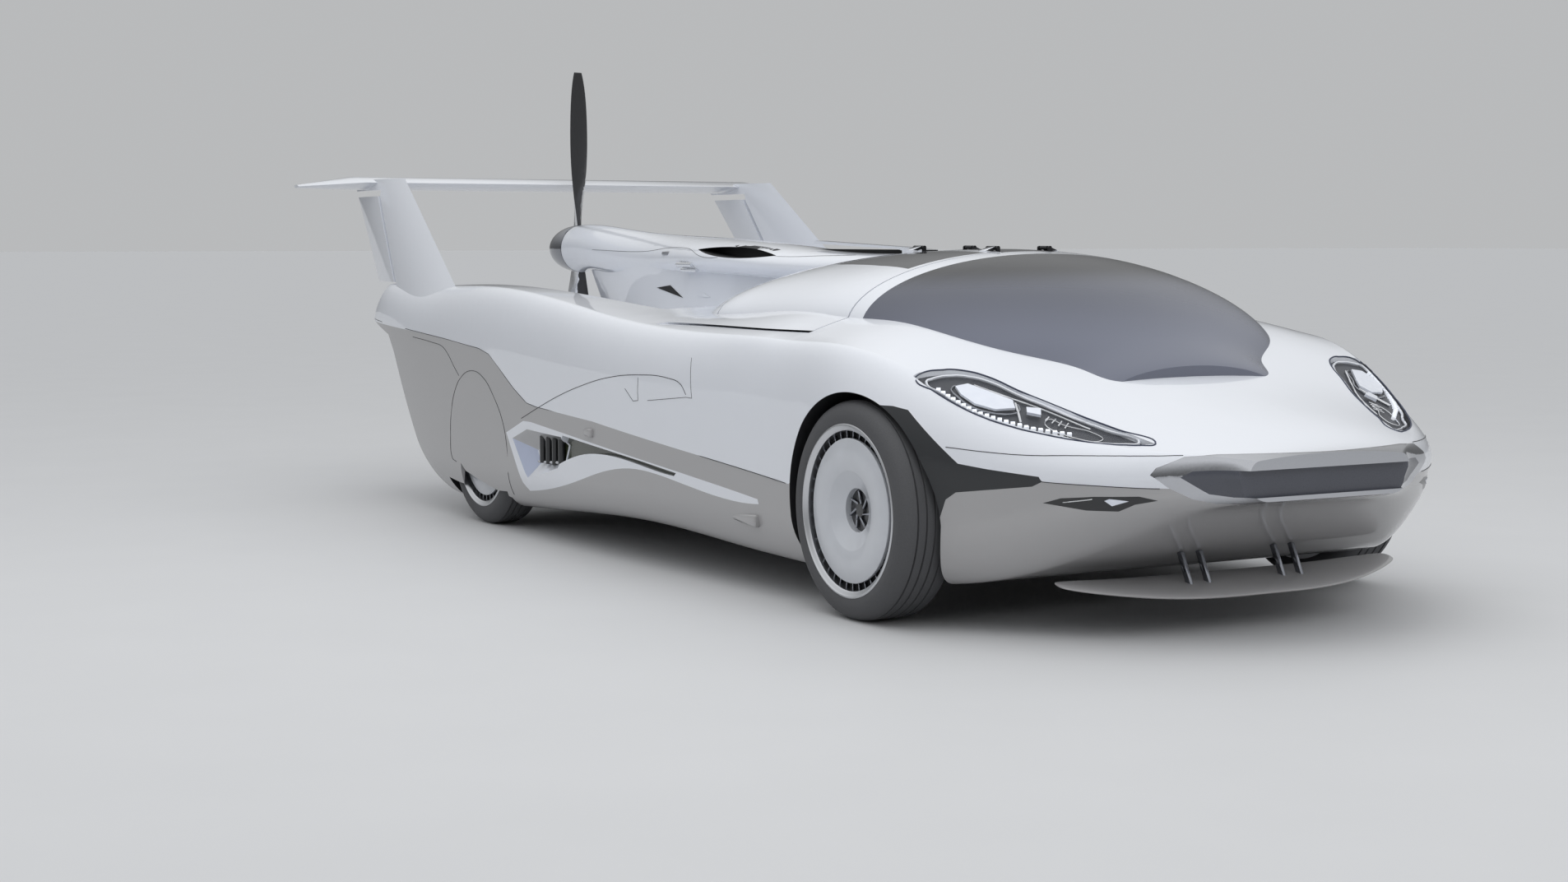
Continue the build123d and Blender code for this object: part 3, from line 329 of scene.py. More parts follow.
leather = Finish("leather", Specular_IOR_Level=0.35)
cells = {"Vector": leather.place(), "Scale": 420.0}
pores = leather.node("TexVoronoi", {"feature": "DISTANCE_TO_EDGE"}, cells)
wear = leather.noise(7.0)
leather.set(Base_Color=leather.mix(wear, (0.030, 0.029, 0.030), (0.060, 0.056, 0.054)),
            Roughness=pores * 0.35 + 0.42)
leather.bump(pores, 0.0006)


# Modelling helpers.
WELD = 0.0002
WELD_TURNED = 0.00005
WELD_PANEL = 0.00002


def take(obj):
    """Select one object alone and make it active."""
    bpy.ops.object.select_all(action="DESELECT")
    obj.select_set(True)
    bpy.context.view_layer.objects.active = obj
    return obj


def done():
    bpy.ops.object.mode_set(mode="OBJECT")


def open_all(obj):
    """Enter edit mode with every vertex chosen."""
    take(obj)
    bpy.ops.object.mode_set(mode="EDIT")
    bpy.ops.mesh.select_mode(type="VERT")
    bpy.ops.mesh.select_all(action="SELECT")


def modify(obj, kind, **settings):
    """Add one modifier and apply it."""
    take(obj)
    made = obj.modifiers.new(kind.lower(), kind)
    for name, value in settings.items():
        setattr(made, name, value)
    bpy.ops.object.modifier_apply(modifier=made.name)
    return obj


def settle(obj):
    """Put the object's place into its mesh."""
    take(obj)
    bpy.ops.object.transform_apply(location=True, rotation=True, scale=True)
    return obj


def smooth(obj, degrees=32):
    take(obj)
    bpy.ops.object.shade_smooth_by_angle(angle=math.radians(degrees))
    return obj


def pick(obj, test):
    """Enter edit mode with only the faces chosen that pass the test."""
    open_all(obj)
    bpy.ops.mesh.select_mode(type="FACE")
    bpy.ops.mesh.select_all(action="DESELECT")
    done()
    for face in obj.data.polygons:
        face.select = bool(test(face))
    bpy.ops.object.mode_set(mode="EDIT")


def keep_faces(obj, test):
    pick(obj, lambda face: not test(face))
    bpy.ops.mesh.delete(type="FACE")
    done()


def name_piece(obj, name, finish, body=None, slot=None, stands_for=()):
    obj.name = name
    if not obj.data.materials:
        obj.data.materials.append(finish.material)
    else:
        obj.data.materials[0] = finish.material
    if body:
        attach(obj, body)
    if slot:
        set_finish(obj, slot)
    if stands_for:
        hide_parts(*stands_for)
    return obj


def copy_of(obj, name):
    """A copy with its own mesh."""
    made = bpy.data.objects.new(name, obj.data.copy())
    bpy.context.scene.collection.objects.link(made)
    return made


SLOTS = {part["node"]: part["material_slot"] for part in frame["record"]["subparts"]}


def panel(node, finish, degrees=32):
    """Merged, smooth-shaded copy of a CAD node that stands for it."""
    made = copy_of(nodes[node], node + "_panel")
    made.data.materials.clear()
    open_all(made)
    bpy.ops.mesh.remove_doubles(threshold=WELD_PANEL)
    done()
    bpy.ops.mesh.customdata_custom_splitnormals_clear()
    smooth(made, degrees)
    body = nodes[node]["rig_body"]
    return name_piece(made, node + "_panel", finish, body, SLOTS[node], (node,))


def second_finish(obj, finish, test):
    """Give the faces that pass the test another finish."""
    obj.data.materials.append(finish.material)
    index = len(obj.data.materials) - 1
    for face in obj.data.polygons:
        if test(face):
            face.material_index = index


def lie_on(surface, point):
    """The nearest place on a surface, and the way it faces."""
    _, place, normal, _ = surface.closest_point_on_mesh(Vector(point) / 1000)
    return place, normal


def mirrored(obj, name, body=None):
    """The same piece on the car's other side."""
    made = copy_of(obj, name)
    made.scale.x = -1
    settle(made)
    open_all(made)
    bpy.ops.mesh.normals_make_consistent(inside=False)
    done()
    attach(made, body or obj["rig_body"].replace("right", "left"))
    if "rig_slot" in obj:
        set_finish(made, obj["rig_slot"])
    return made


def dots(points):
    """A chain of vertices through points given in millimetres."""
    bpy.ops.object.select_all(action="DESELECT")
    bpy.ops.mesh.primitive_plane_add(size=0.001, location=(0, 0, 0))
    obj = bpy.context.object
    open_all(obj)
    bpy.ops.mesh.merge(type="CENTER")
    first = [c / 1000 for c in points[0]]
    bpy.ops.transform.translate(value=first)
    for before, after in zip(points, points[1:]):
        step = [(b - a) / 1000 for a, b in zip(before, after)]
        bpy.ops.mesh.extrude_region_move(TRANSFORM_OT_translate={"value": step})
    done()
    return obj


def wire(name, points, finish, body, on=None, width=0.0012, closed=False, lift=0.0, rounded=False):
    """A thin line through measured points, laid on a panel's surface."""
    bpy.ops.object.select_all(action="DESELECT")
    if rounded:
        bpy.ops.curve.primitive_bezier_curve_add()
        obj = bpy.context.object
        spline = obj.data.splines[0]
        spline.bezier_points.add(len(points) - 2)
        for knot, point in zip(spline.bezier_points, points):
            knot.co = [c / 1000 for c in point]
            knot.handle_left_type = knot.handle_right_type = "AUTO"
        spline.use_cyclic_u = closed
        spline.resolution_u = 8
        bpy.ops.object.convert(target="MESH")
        obj = bpy.context.object
    else:
        obj = dots(points + points[:1] if closed else points)
        open_all(obj)
        bpy.ops.mesh.subdivide(number_cuts=7)
        bpy.ops.mesh.remove_doubles(threshold=WELD)
        done()
    if on is not None:
        modify(obj, "SHRINKWRAP", target=on, wrap_method="NEAREST_SURFACEPOINT", wrap_mode="ABOVE_SURFACE",
               offset=lift)
    take(obj)
    bpy.ops.object.convert(target="CURVE")
    obj = bpy.context.object
    obj.data.bevel_depth = width
    obj.data.bevel_resolution = 1
    obj.data.use_fill_caps = True
    bpy.ops.object.convert(target="MESH")
    obj = bpy.context.object
    smooth(obj, 60)
    return name_piece(obj, name, finish, body)


def turned(name, profile, axle_x, axle_y, steps):
    """Spin a closed profile of (x, radius) points in millimetres about an axle along X."""
    points = [(axle_x * 1000 + x, axle_y * 1000, WHEEL_Z * 1000 + r) for x, r in profile]
    obj = dots(points + points[:1])
    open_all(obj)
    bpy.ops.mesh.spin(steps=steps, angle=2 * math.pi, center=(axle_x, axle_y, WHEEL_Z), axis=(1, 0, 0))
    bpy.ops.mesh.select_all(action="SELECT")
    bpy.ops.mesh.remove_doubles(threshold=WELD_TURNED)
    bpy.ops.mesh.normals_make_consistent(inside=False)
    done()
    obj.name = name
    return obj


def join(parts):
    bpy.ops.object.select_all(action="DESELECT")
    for part in parts:
        part.select_set(True)
    bpy.context.view_layer.objects.active = parts[0]
    bpy.ops.object.join()
    return parts[0]


# Body panels.
upper = panel("upper_body", roof_paint)
lower = panel("lower_body", grey_paint)
bumper = panel("front_bumper", bumper_paint)
spats = panel("wheel_spats", grey_paint)
trims = panel("arch_trims", arch_black)
for node, finish in (
        ("windshield_hoop", white_paint), ("door_left", white_paint), ("door_right", white_paint),
        ("fins", white_paint), ("rudder_left", white_paint), ("rudder_right", white_paint),
        ("tailplane", white_paint), ("elevator", white_paint),
        ("nose_frame", chrome), ("nose_panel", panel_dark),
        ("windshield", screen_glass), ("door_glass_left", roof_glass), ("door_glass_right", roof_glass),
        ("roof_scoop", white_paint), ("engine_block", engine_cast), ("suspension_arms", steel),
        ("rear_axles", steel), ("knuckle_left", steel), ("knuckle_right", steel),
        ("dashboard", cabin_plastic), ("centre_console", cabin_plastic), ("steering_wheel", cabin_plastic),
        ("lower_lamps", slat_black),
        ("side_slats", slat_black), ("spinner", dark_chrome), ("propeller", composite)):
    panel(node, finish)
nacelle = panel("nacelle", white_paint)
side_frames = panel("side_trims", white_paint)


# Places in metres that bound the faces with another finish.
CABIN_FRONT_Y = -2.71
CABIN_REAR_Y = -0.105
CABIN_HALF_X = 1.0
CABIN_MIDDLE_Z = 0.6
HINGE_STRIP_X = 0.135
HINGE_STRIP_Z = 1.115
INTAKE_Y = (0.108, 0.737)
INTAKE_Z = (1.09, 1.14)
INTAKE_INNER_X = 0.115
INTAKE_FLOOR_X = 0.1205
PIPE_Y = (0.76, 0.907)
PIPE_Z = (1.02, 1.072)
PIPE_X = 0.168
PIPE_FACE_AREA = 0.0012
# Front y, rear y, and the slot floor's distance from the middle at each.
SLOT_FLOOR = [
    (-0.060, 0.43, 1.0445, 1.0445), (-0.430, -0.060, 1.0362, 1.0445), (-0.727, -0.430, 1.0195, 1.0362)]
SLOT_SPARE = 0.0012
SLOT_ROOF_Y = (-0.727, 0.14)
SLOT_ROOF_Z = 0.355
FUNNEL_Y = (0.14, 0.62)
FUNNEL_BLUE_Y = (0.40, 0.62)
FUNNEL_LOW_Z = 0.345
FUNNEL_BLUE_TOP_Z = 0.386
SCOOP_HALF_X = 0.029


def between(value, ends):
    return ends[0] < value < ends[1]


def cabin_face(face):
    x, y, z = face.center
    inward = face.normal.dot(Vector((x, 0, z - CABIN_MIDDLE_Z)).normalized())
    return CABIN_FRONT_Y < y < CABIN_REAR_Y and inward < -0.35 and abs(x) < CABIN_HALF_X


def hinge_strip(face):
    return abs(face.center.x) < HINGE_STRIP_X and face.center.z > HINGE_STRIP_Z


def intake_face(face):
    x, y, z = abs(face.center.x), face.center.y, face.center.z
    inside = between(y, INTAKE_Y) and between(z, INTAKE_Z) and x > INTAKE_INNER_X
    return inside and (x < INTAKE_FLOOR_X or abs(face.normal.x) < 0.25)


def pipe_face(face):
    x, y, z = abs(face.center.x), face.center.y, face.center.z
    return between(y, PIPE_Y) and x > PIPE_X and between(z, PIPE_Z) and face.area < PIPE_FACE_AREA


for shell in (upper, lower, bumper):
    second_finish(shell, cabin_plastic, cabin_face)
for side in SIDES:
    door = bpy.data.objects[f"door_{side}_panel"]
    second_finish(door, cabin_plastic, cabin_face)
    second_finish(door, black_trim, hinge_strip)
second_finish(bpy.data.objects["windshield_hoop_panel"], cabin_plastic, cabin_face)
# Painted shade inside the nacelle's intake.
second_finish(nacelle, opening_shade, intake_face)
second_finish(nacelle, bright_alloy, pipe_face)


def slot_floor(face):
    x, y, z = face.center
    for start, end, x_start, x_end in SLOT_FLOOR:
        if start < y <= end and abs(face.normal.x) > 0.9:
            return abs(x) < x_start + (x_end - x_start) * (y - start) / (end - start) + SLOT_SPARE
    return False


def slot_roof(face):
    return face.normal.z < -0.9 and between(face.center.y, SLOT_ROOF_Y) and face.center.z > SLOT_ROOF_Z


def funnel_roof(face):
    outward = face.normal.x * (1 if face.center.x > 0 else -1)
    inside = between(face.center.y, FUNNEL_Y) and face.center.z > FUNNEL_LOW_Z
    return inside and outward > 0.2 and face.normal.z < -0.3


def funnel_rear(face):
    inside = between(face.center.y, FUNNEL_BLUE_Y) and face.center.z < FUNNEL_BLUE_TOP_Z
    return inside and -0.35 < face.normal.y < -0.16


def scoop_inside(face):
    return face.normal.z < 0.3 and (abs(face.center.x) < SCOOP_HALF_X or face.normal.z < -0.3)


second_finish(side_frames, recess_olive, lambda face: slot_floor(face) or slot_roof(face))
second_finish(side_frames, funnel_grey, funnel_roof)
second_finish(side_frames, funnel_blue, funnel_rear)
# Painted shade in the roof scoop's pockets and under its top bar.
second_finish(bpy.data.objects["roof_scoop_panel"], opening_shade, scoop_inside)


# Wheels: the left one of each axle is modelled, with its outer face at +X, and copied to the right.
TYRE_R = 339.0
RIM_R = 268.0
LIP_R = 247.0
DISC_R = 223.0
CONE_R = 122.0
HUB_R = 68.0
FACE_INSET = 16.0
SHOULDER = 34.0
BARS = 40
HUB_SPOKES = 7
GROOVES = (-0.40, -0.10, 0.20, 0.50)
GROOVE_WIDTH = 7.0
GROOVE_SLOPE = 1.5
GROOVE_DEPTH = 6.0


def radial_bars(axle_x, axle_y, count, radius, size, depth, lean=0.0):
    """Bars round the axle, each a bevelled block turned to its place."""
    bars = []
    middle_z = WHEEL_Z + radius / 1000
    for n in range(count):
        bpy.ops.object.select_all(action="DESELECT")
        bpy.ops.mesh.primitive_cube_add(size=0.001, location=(axle_x + depth / 1000, axle_y, middle_z))
        bar = bpy.context.object
        bpy.ops.object.mode_set(mode="EDIT")
        bpy.ops.transform.resize(value=size)
        bpy.ops.mesh.bevel(offset=min(size) * 0.00025, segments=1, affect="EDGES")
        if lean:
            bpy.ops.transform.rotate(value=lean, orient_axis="X", center_override=(axle_x, axle_y, middle_z))
        bpy.ops.transform.rotate(value=2 * math.pi * n / count, orient_axis="X",
                                 center_override=(axle_x, axle_y, WHEEL_Z))
        done()
        settle(bar)
        bars.append(bar)
    return join(bars)


def wheel(end, axle_x, axle_y, width):
    half = width / 2
    face = half - FACE_INSET
    tread = []
    for groove in GROOVES:
        x = groove * half
        floor_r = TYRE_R - GROOVE_DEPTH
        tread += [(x, TYRE_R), (x + GROOVE_SLOPE, floor_r), (x + GROOVE_WIDTH - GROOVE_SLOPE, floor_r),
                  (x + GROOVE_WIDTH, TYRE_R)]
    side_wall = [(half - SHOULDER, TYRE_R - 2), (half - 18, 329), (half - 6, 314), (half, 296),
                 (half - 1, 277), (half - 5, RIM_R)]
    tyre_profile = [(-x, r) for x, r in reversed(side_wall)] + tread + side_wall
    tyre = turned("tyre_" + end, tyre_profile, axle_x, axle_y, 96)
    lip = turned("lip_" + end, [
        (-half + 4, RIM_R), (half - 4, RIM_R), (half - 2, 265), (half - 2, 262), (half - 6, 258),
        (half - 8, 252), (half - 13, LIP_R), (face - 26, LIP_R - 2), (-half + 4, LIP_R + 4)],
        axle_x, axle_y, 96)
    disc = turned("disc_" + end, [
        (face - 10, DISC_R), (face - 2, DISC_R), (face, DISC_R - 3), (face + 1, 175), (face, CONE_R + 3),
        (face - 2, CONE_R), (face - 24, HUB_R + 5), (face - 27, HUB_R), (face - 45, HUB_R), (face - 46, 0),
        (face - 60, 0), (face - 60, 90), (face - 34, CONE_R + 12), (face - 20, DISC_R - 6)],
        axle_x, axle_y, 96)
    # The slot ring is painted shade: a near-black backing seen through the slots.
    ring = turned("ring_" + end, [
        (face - 22, LIP_R), (face - 22, DISC_R - 8), (face - 32, DISC_R - 8), (face - 32, LIP_R)],
        axle_x, axle_y, 64)
    hub = turned("hub_" + end, [
        (face - 45, HUB_R - 1), (face - 43, HUB_R - 8), (face - 43, 24), (face - 36, 21), (face - 35, 10),
        (face - 36, 0), (face - 46, 0)], axle_x, axle_y, 48)
    bar_size = (12, 4, LIP_R - DISC_R + 4)
    bars = radial_bars(axle_x, axle_y, BARS, (LIP_R + DISC_R) / 2, bar_size, face - 17)
    spokes = radial_bars(axle_x, axle_y, HUB_SPOKES, 40, (8, 7, 44), face - 38, 0.35)
    body = end + "_wheel_left"
    pieces = (
        (tyre, "tyre", tyre_rubber, "tyre", "tyre_" + end + "_left"),
        (lip, "rim", alloy, "alloy", "wheel_" + end + "_left"),
        (disc, "disc", disc_paint, "alloy", None), (ring, "slot_ring", slot_shade_black, "black_trim", None),
        (hub, "hub", slat_black, "black_trim", None), (bars, "slot_bars", dark_chrome, "alloy", None),
        (spokes, "hub_spokes", dark_chrome, "alloy", None))
    for obj, kind, finish, slot, node in pieces:
        smooth(obj, 38)
        name_piece(obj, f"{kind}_{end}_left", finish, body, slot, (node,) if node else ())
        right = mirrored(obj, f"{kind}_{end}_right", body.replace("left", "right"))
        if node:
            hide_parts(node.replace("left", "right"))


wheel("front", 0.900, FRONT_AXLE_Y, 205)
wheel("rear", 0.962, REAR_AXLE_Y, 165)


# Seams and outlines on the near side, each copied to the far side, laid on a merged copy of the skin.
SEAM_LIFT = 0.0002
SEAM_FINE = 0.0009


def seam(name, points, on, rounded=True, width=0.0012):
    made = wire(name + "_right", points, seam_rubber, "body", on, width, rounded=rounded, lift=SEAM_LIFT)
    mirrored(made, name + "_left")


skin = join([copy_of(piece, piece.name + "_skin") for piece in (upper, lower, bumper, spats, trims)])
seam("split_seam", [
    (-1050, 2275, 805), (-1073, 1747, 771), (-1077, 1345, 750), (-1082, 950, 725), (-1082, 844, 706),
    (-1082, 726, 649), (-1082, 597, 584), (-1080, 470, 533), (-1080, 376, 523), (-1072, -120, 501),
    (-994, -1419, 389)], skin, False)
seam("pod_seam", [
    (-1073, 1727, 743), (-1076, 1483, 728), (-1078, 1363, 715), (-1079, 1305, 690), (-1079, 1230, 638),
    (-1080, 1175, 603)], skin)
seam("wing_outline", [
    (-1080, 522, 469), (-1079, 333, 529), (-1079, 158, 580), (-1079, -46, 629), (-1073, -266, 670),
    (-1062, -481, 690), (-1048, -695, 689), (-1043, -779, 672), (-1041, -815, 639)], skin)
seam("wing_hatch", [
    (-1059, -556, 604), (-1041, -815, 630), (-1038, -853, 629), (-1024, -825, 765)], skin, False, SEAM_FINE)
seam("wing_spar", [
    (-1063, -488, 681), (-1062, -487, 600), (-1064, -450, 596), (-1069, -394, 637)], skin, False, SEAM_FINE)
seam("spat_seam", [
    (-1075, 668, 140), (-1075, 667, 240), (-1079, 676, 357), (-1080, 713, 446), (-1081, 801, 540),
    (-1082, 901, 607), (-1082, 1034, 630), (-1080, 1157, 594), (-1079, 1227, 535), (-1077, 1271, 450),
    (-1076, 1287, 345), (-1076, 1274, 256), (-1075, 1225, 240)], skin)
seam("bumper_seam", [
    (-748, -2471, 477), (-645, -2592, 471), (-502, -2696, 465)], skin)
seam("bonnet_seam", [
    (-899, -2200, 562), (-838, -2320, 555), (-770, -2428, 552), (-694, -2522, 556), (-611, -2604, 559),
    (-520, -2675, 561), (-441, -2723, 562)], skin)
bpy.data.objects.remove(skin)


# Headlights: a clear cover over a dark tray with its lenses, light row and bright bars, right side first.
LAMP_OUTLINE = [
    (-464, -2627, 585), (-502, -2505, 618), (-543, -2401, 648), (-586, -2298, 682), (-635, -2200, 717),
    (-682, -2096, 757), (-735, -2043, 774), (-793, -2018, 776), (-859, -2016, 768), (-890, -2025, 750),
    (-875, -2098, 719), (-850, -2172, 686), (-817, -2252, 654), (-772, -2333, 629), (-722, -2407, 611),
    (-665, -2468, 601), (-614, -2536, 587), (-558, -2578, 583), (-511, -2612, 581)]
LAMP_MIDDLE = Vector((-715, -2270, 690))
TRAY_DEPTH = 0.016
LIGHT_ROW = [
    (-870, -2079, 727), (-857, -2127, 704), (-840, -2175, 682), (-821, -2226, 661), (-792, -2276, 647),
    (-754, -2332, 633), (-712, -2382, 623), (-667, -2425, 615), (-625, -2464, 608)]
LIGHTS = 22
LIGHT_RISE = 0.005
LIGHT_INSET = 0.09


def nearer(points, share):
    """The outline drawn in towards the lamp's middle."""
    return [tuple(Vector(p).lerp(LAMP_MIDDLE, share)) for p in points]


def tray_of(cover):
    """A dark floor below the cover, inside the pocket of the body."""
    tray = copy_of(cover, "lamp_tray_right")
    return modify(tray, "DISPLACE", strength=-TRAY_DEPTH, mid_level=0.0)


def lens(name, points, finish, on, lift, thick=0.004, slot="lamp_glass"):
    """A flat-edged lens or plate laid over a surface and given thickness."""
    obj = dots(points + points[:1])
    open_all(obj)
    bpy.ops.mesh.remove_doubles(threshold=WELD)
    bpy.ops.mesh.subdivide(number_cuts=2)
    bpy.ops.mesh.edge_face_add()
    bpy.ops.mesh.poke()
    bpy.ops.mesh.subdivide(number_cuts=2)
    done()
    modify(obj, "SHRINKWRAP", target=on, wrap_method="NEAREST_SURFACEPOINT", wrap_mode="ABOVE_SURFACE",
           offset=lift + thick)
    modify(obj, "SOLIDIFY", thickness=thick, offset=-1.0)
    open_all(obj)
    bpy.ops.mesh.normals_make_consistent(inside=False)
    done()
    smooth(obj, 40)
    return name_piece(obj, name, finish, "body", slot)


def along(points, count):
    """Evenly spaced places along a chain of points."""
    chain = [Vector(p) for p in points]
    lengths = [(b - a).length for a, b in zip(chain, chain[1:])]
    places = []
    for n in range(count):
        rest = sum(lengths) * n / (count - 1)
        for start, end, length in zip(chain, chain[1:], lengths):
            if rest <= length + 1e-6:
                places.append(start.lerp(end, rest / length))
                break
            rest -= length
    return places


def light_row(tray):
    cells = []
    for spot in along(nearer(LIGHT_ROW, LIGHT_INSET), LIGHTS):
        place, normal = lie_on(tray, spot)
        bpy.ops.object.select_all(action="DESELECT")
        bpy.ops.mesh.primitive_cube_add(size=0.001)
        cell = bpy.context.object
        bpy.ops.object.mode_set(mode="EDIT")
        bpy.ops.transform.resize(value=(13, 11, 12))
        bpy.ops.mesh.bevel(offset=0.001, segments=2, affect="EDGES")
        done()
        cell.rotation_mode = "QUATERNION"
        cell.rotation_quaternion = normal.to_track_quat("Z", "Y")
        cell.location = place + normal * LIGHT_RISE
        settle(cell)
        cells.append(cell)
    return name_piece(smooth(join(cells), 40), "light_row_right", led_white, "body", "lamp_glass")


def facing_up(face):
    return face.normal.z > 0.12 and face.center.x < 0


cover = panel("headlights", lamp_cover)
keep_faces(cover, facing_up)
cover.name = "lamp_cover_right"
tray = tray_of(cover)
LAMP_BAR = [(-738, -2112, 740), (-672, -2215, 705), (-618, -2300, 672), (-560, -2450, 628)]
LAMP_LOOP = [
    (-640, -2349, 653), (-612, -2400, 639), (-566, -2467, 622), (-568, -2515, 602), (-620, -2480, 602)]
LAMP_EYE = [
    (-806, -2112, 734), (-762, -2112, 741), (-715, -2182, 714), (-684, -2233, 696), (-702, -2272, 675),
    (-762, -2256, 672), (-804, -2210, 687), (-815, -2154, 713)]
LAMP_EYE_RIM = [
    (-812, -2105, 737), (-760, -2104, 744), (-708, -2182, 716), (-676, -2236, 696), (-698, -2282, 673),
    (-765, -2264, 670), (-812, -2214, 686), (-823, -2154, 713)]
LAMP_POST = [(-679, -2241, 692), (-702, -2290, 668), (-724, -2334, 644)]
PROJECTOR = [(-672, -2285, 675), (-636, -2307, 670), (-657, -2338, 653), (-687, -2309, 661)]
LAMP_FINS = [
    [(-628, -2338, 655), (-652, -2352, 645)], [(-617, -2356, 650), (-643, -2372, 640)],
    [(-607, -2374, 645), (-634, -2392, 634)], [(-597, -2392, 640), (-625, -2412, 630)]]
BEZEL_INSET = 0.11
# Lines in the lamp: name, points, finish, half width, closed, depth below the cover, rounded.
LAMP_LINES = [
    ("bezel", nearer(LAMP_OUTLINE, BEZEL_INSET), white_paint, 0.0045, True, -0.009, True),
    ("bar", LAMP_BAR, bright_alloy, 0.0035, False, -0.011, True),
    ("loop", LAMP_LOOP, bright_alloy, 0.0022, True, -0.012, True),
    ("eye_rim", LAMP_EYE_RIM, dark_chrome, 0.0035, True, -0.012, True),
    ("post", LAMP_POST, bright_alloy, 0.005, False, -0.011, False)]
for n, ends in enumerate(LAMP_FINS):
    LAMP_LINES.append((f"fin_{n}", ends, bright_alloy, 0.0025, False, -0.011, False))
lamp_pieces = [
    name_piece(tray, "lamp_tray_right", lamp_housing, "body", "lamp_glass", ("headlights",)),
    wire("lamp_gasket_right", LAMP_OUTLINE, gasket_blue, "body", upper, 0.0026, True, rounded=True),
    lens("lamp_eye_right", LAMP_EYE, lens_white, cover, -0.015, 0.007),
    lens("lamp_projector_right", PROJECTOR, lens_white, cover, -0.015, 0.009),
    light_row(tray)]
for kind, points, finish, width, closed, depth, rounded in LAMP_LINES:
    lamp_pieces.append(
        wire(f"lamp_{kind}_right", points, finish, "body", cover, width, closed, depth, rounded))
for piece in lamp_pieces + [cover]:
    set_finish(piece, "lamp_glass")
    mirrored(piece, piece.name.replace("right", "left"))

# Lower lamps: a clear insert in each black surround.
LOWER_LIGHT = [(-620, -2597, 428), (-600, -2606, 416), (-568, -2640, 429), (-612, -2608, 434)]
LOWER_RIM = [(-700, -2508, 419), (-627, -2590, 436), (-545, -2655, 436)]
lower_lamps = bpy.data.objects["lower_lamps_panel"]
insert = lens("lower_light_right", LOWER_LIGHT, lens_white, lower_lamps, 0.0, 0.003)
mirrored(insert, "lower_light_left")
lower_rim = wire("lower_rim_right", LOWER_RIM, bright_alloy, "body", lower_lamps, 0.0016)
mirrored(lower_rim, "lower_rim_left")

# Bright bevelled rim inside the nose frame.
NOSE_PANEL = [(319, 440), (378, 449), (457, 497), (426, 515), (377, 518)]
NOSE_Y = -2760
NOSE_RIM_DEPTH = 0.020
NOSE_RIM_MIDDLE = (0, 0, 0.482)
nose = bpy.data.objects["nose_frame_panel"]
nose_loop = [(x, NOSE_Y, z) for x, z in NOSE_PANEL] + [(-x, NOSE_Y, z) for x, z in reversed(NOSE_PANEL)]
rim = dots(nose_loop + nose_loop[:1])
open_all(rim)
bpy.ops.mesh.remove_doubles(threshold=WELD)
bpy.ops.mesh.subdivide(number_cuts=5)
done()
modify(rim, "SHRINKWRAP", target=nose, wrap_method="NEAREST_SURFACEPOINT", wrap_mode="ON_SURFACE")
open_all(rim)
bpy.ops.mesh.extrude_region_move(TRANSFORM_OT_translate={"value": (0, NOSE_RIM_DEPTH, 0)})
bpy.ops.transform.resize(value=(0.955, 1, 0.66), center_override=NOSE_RIM_MIDDLE)
bpy.ops.mesh.select_all(action="SELECT")
bpy.ops.mesh.normals_make_consistent(inside=True)
done()
name_piece(smooth(rim, 25), "nose_rim", chrome, "body", "chrome")


# Front wing: one closed foil drawn out from tip to tip through its stations.
# x, front y, rear y, front z, rear z and thickness, in millimetres, from the middle to the right tip.
WING_STATIONS = [
    (0, -2600, -2340, 118, 150, 34), (-160, -2598, -2345, 116, 150, 34), (-330, -2575, -2350, 120, 152, 31),
    (-470, -2530, -2360, 132, 158, 26), (-580, -2485, -2370, 146, 164, 20),
    (-640, -2450, -2385, 156, 168, 13), (-648, -2435, -2400, 160, 166, 6)]


def section(station):
    """A station's middle, chord, lean and thickness in metres."""
    x, front, rear, front_z, rear_z, thick = (v / 1000 for v in station)
    chord, rise = rear - front, rear_z - front_z
    return (x, (front + rear) / 2, (front_z + rear_z) / 2), chord, math.atan2(rise, chord), thick


def wing_half():
    bpy.ops.object.select_all(action="DESELECT")
    bpy.ops.mesh.primitive_circle_add(vertices=20, radius=0.5, fill_type="NGON", rotation=(0, math.pi / 2, 0))
    half = bpy.context.object
    settle(half)
    open_all(half)
    middle, chord, lean, thick = section(WING_STATIONS[0])
    bpy.ops.transform.resize(value=(1, chord, thick), center_override=(0, 0, 0))
    bpy.ops.transform.translate(value=middle)
    bpy.ops.transform.rotate(value=-lean, orient_axis="X", center_override=middle)
    for station in WING_STATIONS[1:]:
        new_middle, new_chord, new_lean, new_thick = section(station)
        step = [b - a for a, b in zip(middle, new_middle)]
        bpy.ops.mesh.extrude_region_move(TRANSFORM_OT_translate={"value": step})
        bpy.ops.transform.rotate(value=lean, orient_axis="X", center_override=new_middle)
        scale = (1, new_chord / chord, new_thick / thick)
        bpy.ops.transform.resize(value=scale, center_override=new_middle)
        bpy.ops.transform.rotate(value=-new_lean, orient_axis="X", center_override=new_middle)
        middle, chord, lean, thick = new_middle, new_chord, new_lean, new_thick
    done()
    keep_faces(half, lambda face: abs(face.normal.x) <= 0.99 or abs(face.center.x) >= 0.001)
    return half


right_half = wing_half()
left_half = copy_of(right_half, "front_wing_left_half")
left_half.scale.x = -1
settle(left_half)
front_wing = join([right_half, left_half])
open_all(front_wing)
bpy.ops.mesh.remove_doubles(threshold=WELD)
bpy.ops.mesh.normals_make_consistent(inside=False)
done()
modify(front_wing, "SUBSURF", levels=2, render_levels=2)
smooth(front_wing, 50)
name_piece(front_wing, "front_wing_foil", grey_paint, "body", SLOTS["front_wing"], ("front_wing",))


# Seats: the right cushion is a swollen copy of its solid, and the left one its mirror.
SEAT_VOXEL = 0.014
SEAT_START = -0.010
SEAT_SWELL = 0.016
SEAT_PRESSURE = 4.0
SEAT_STEPS = 20


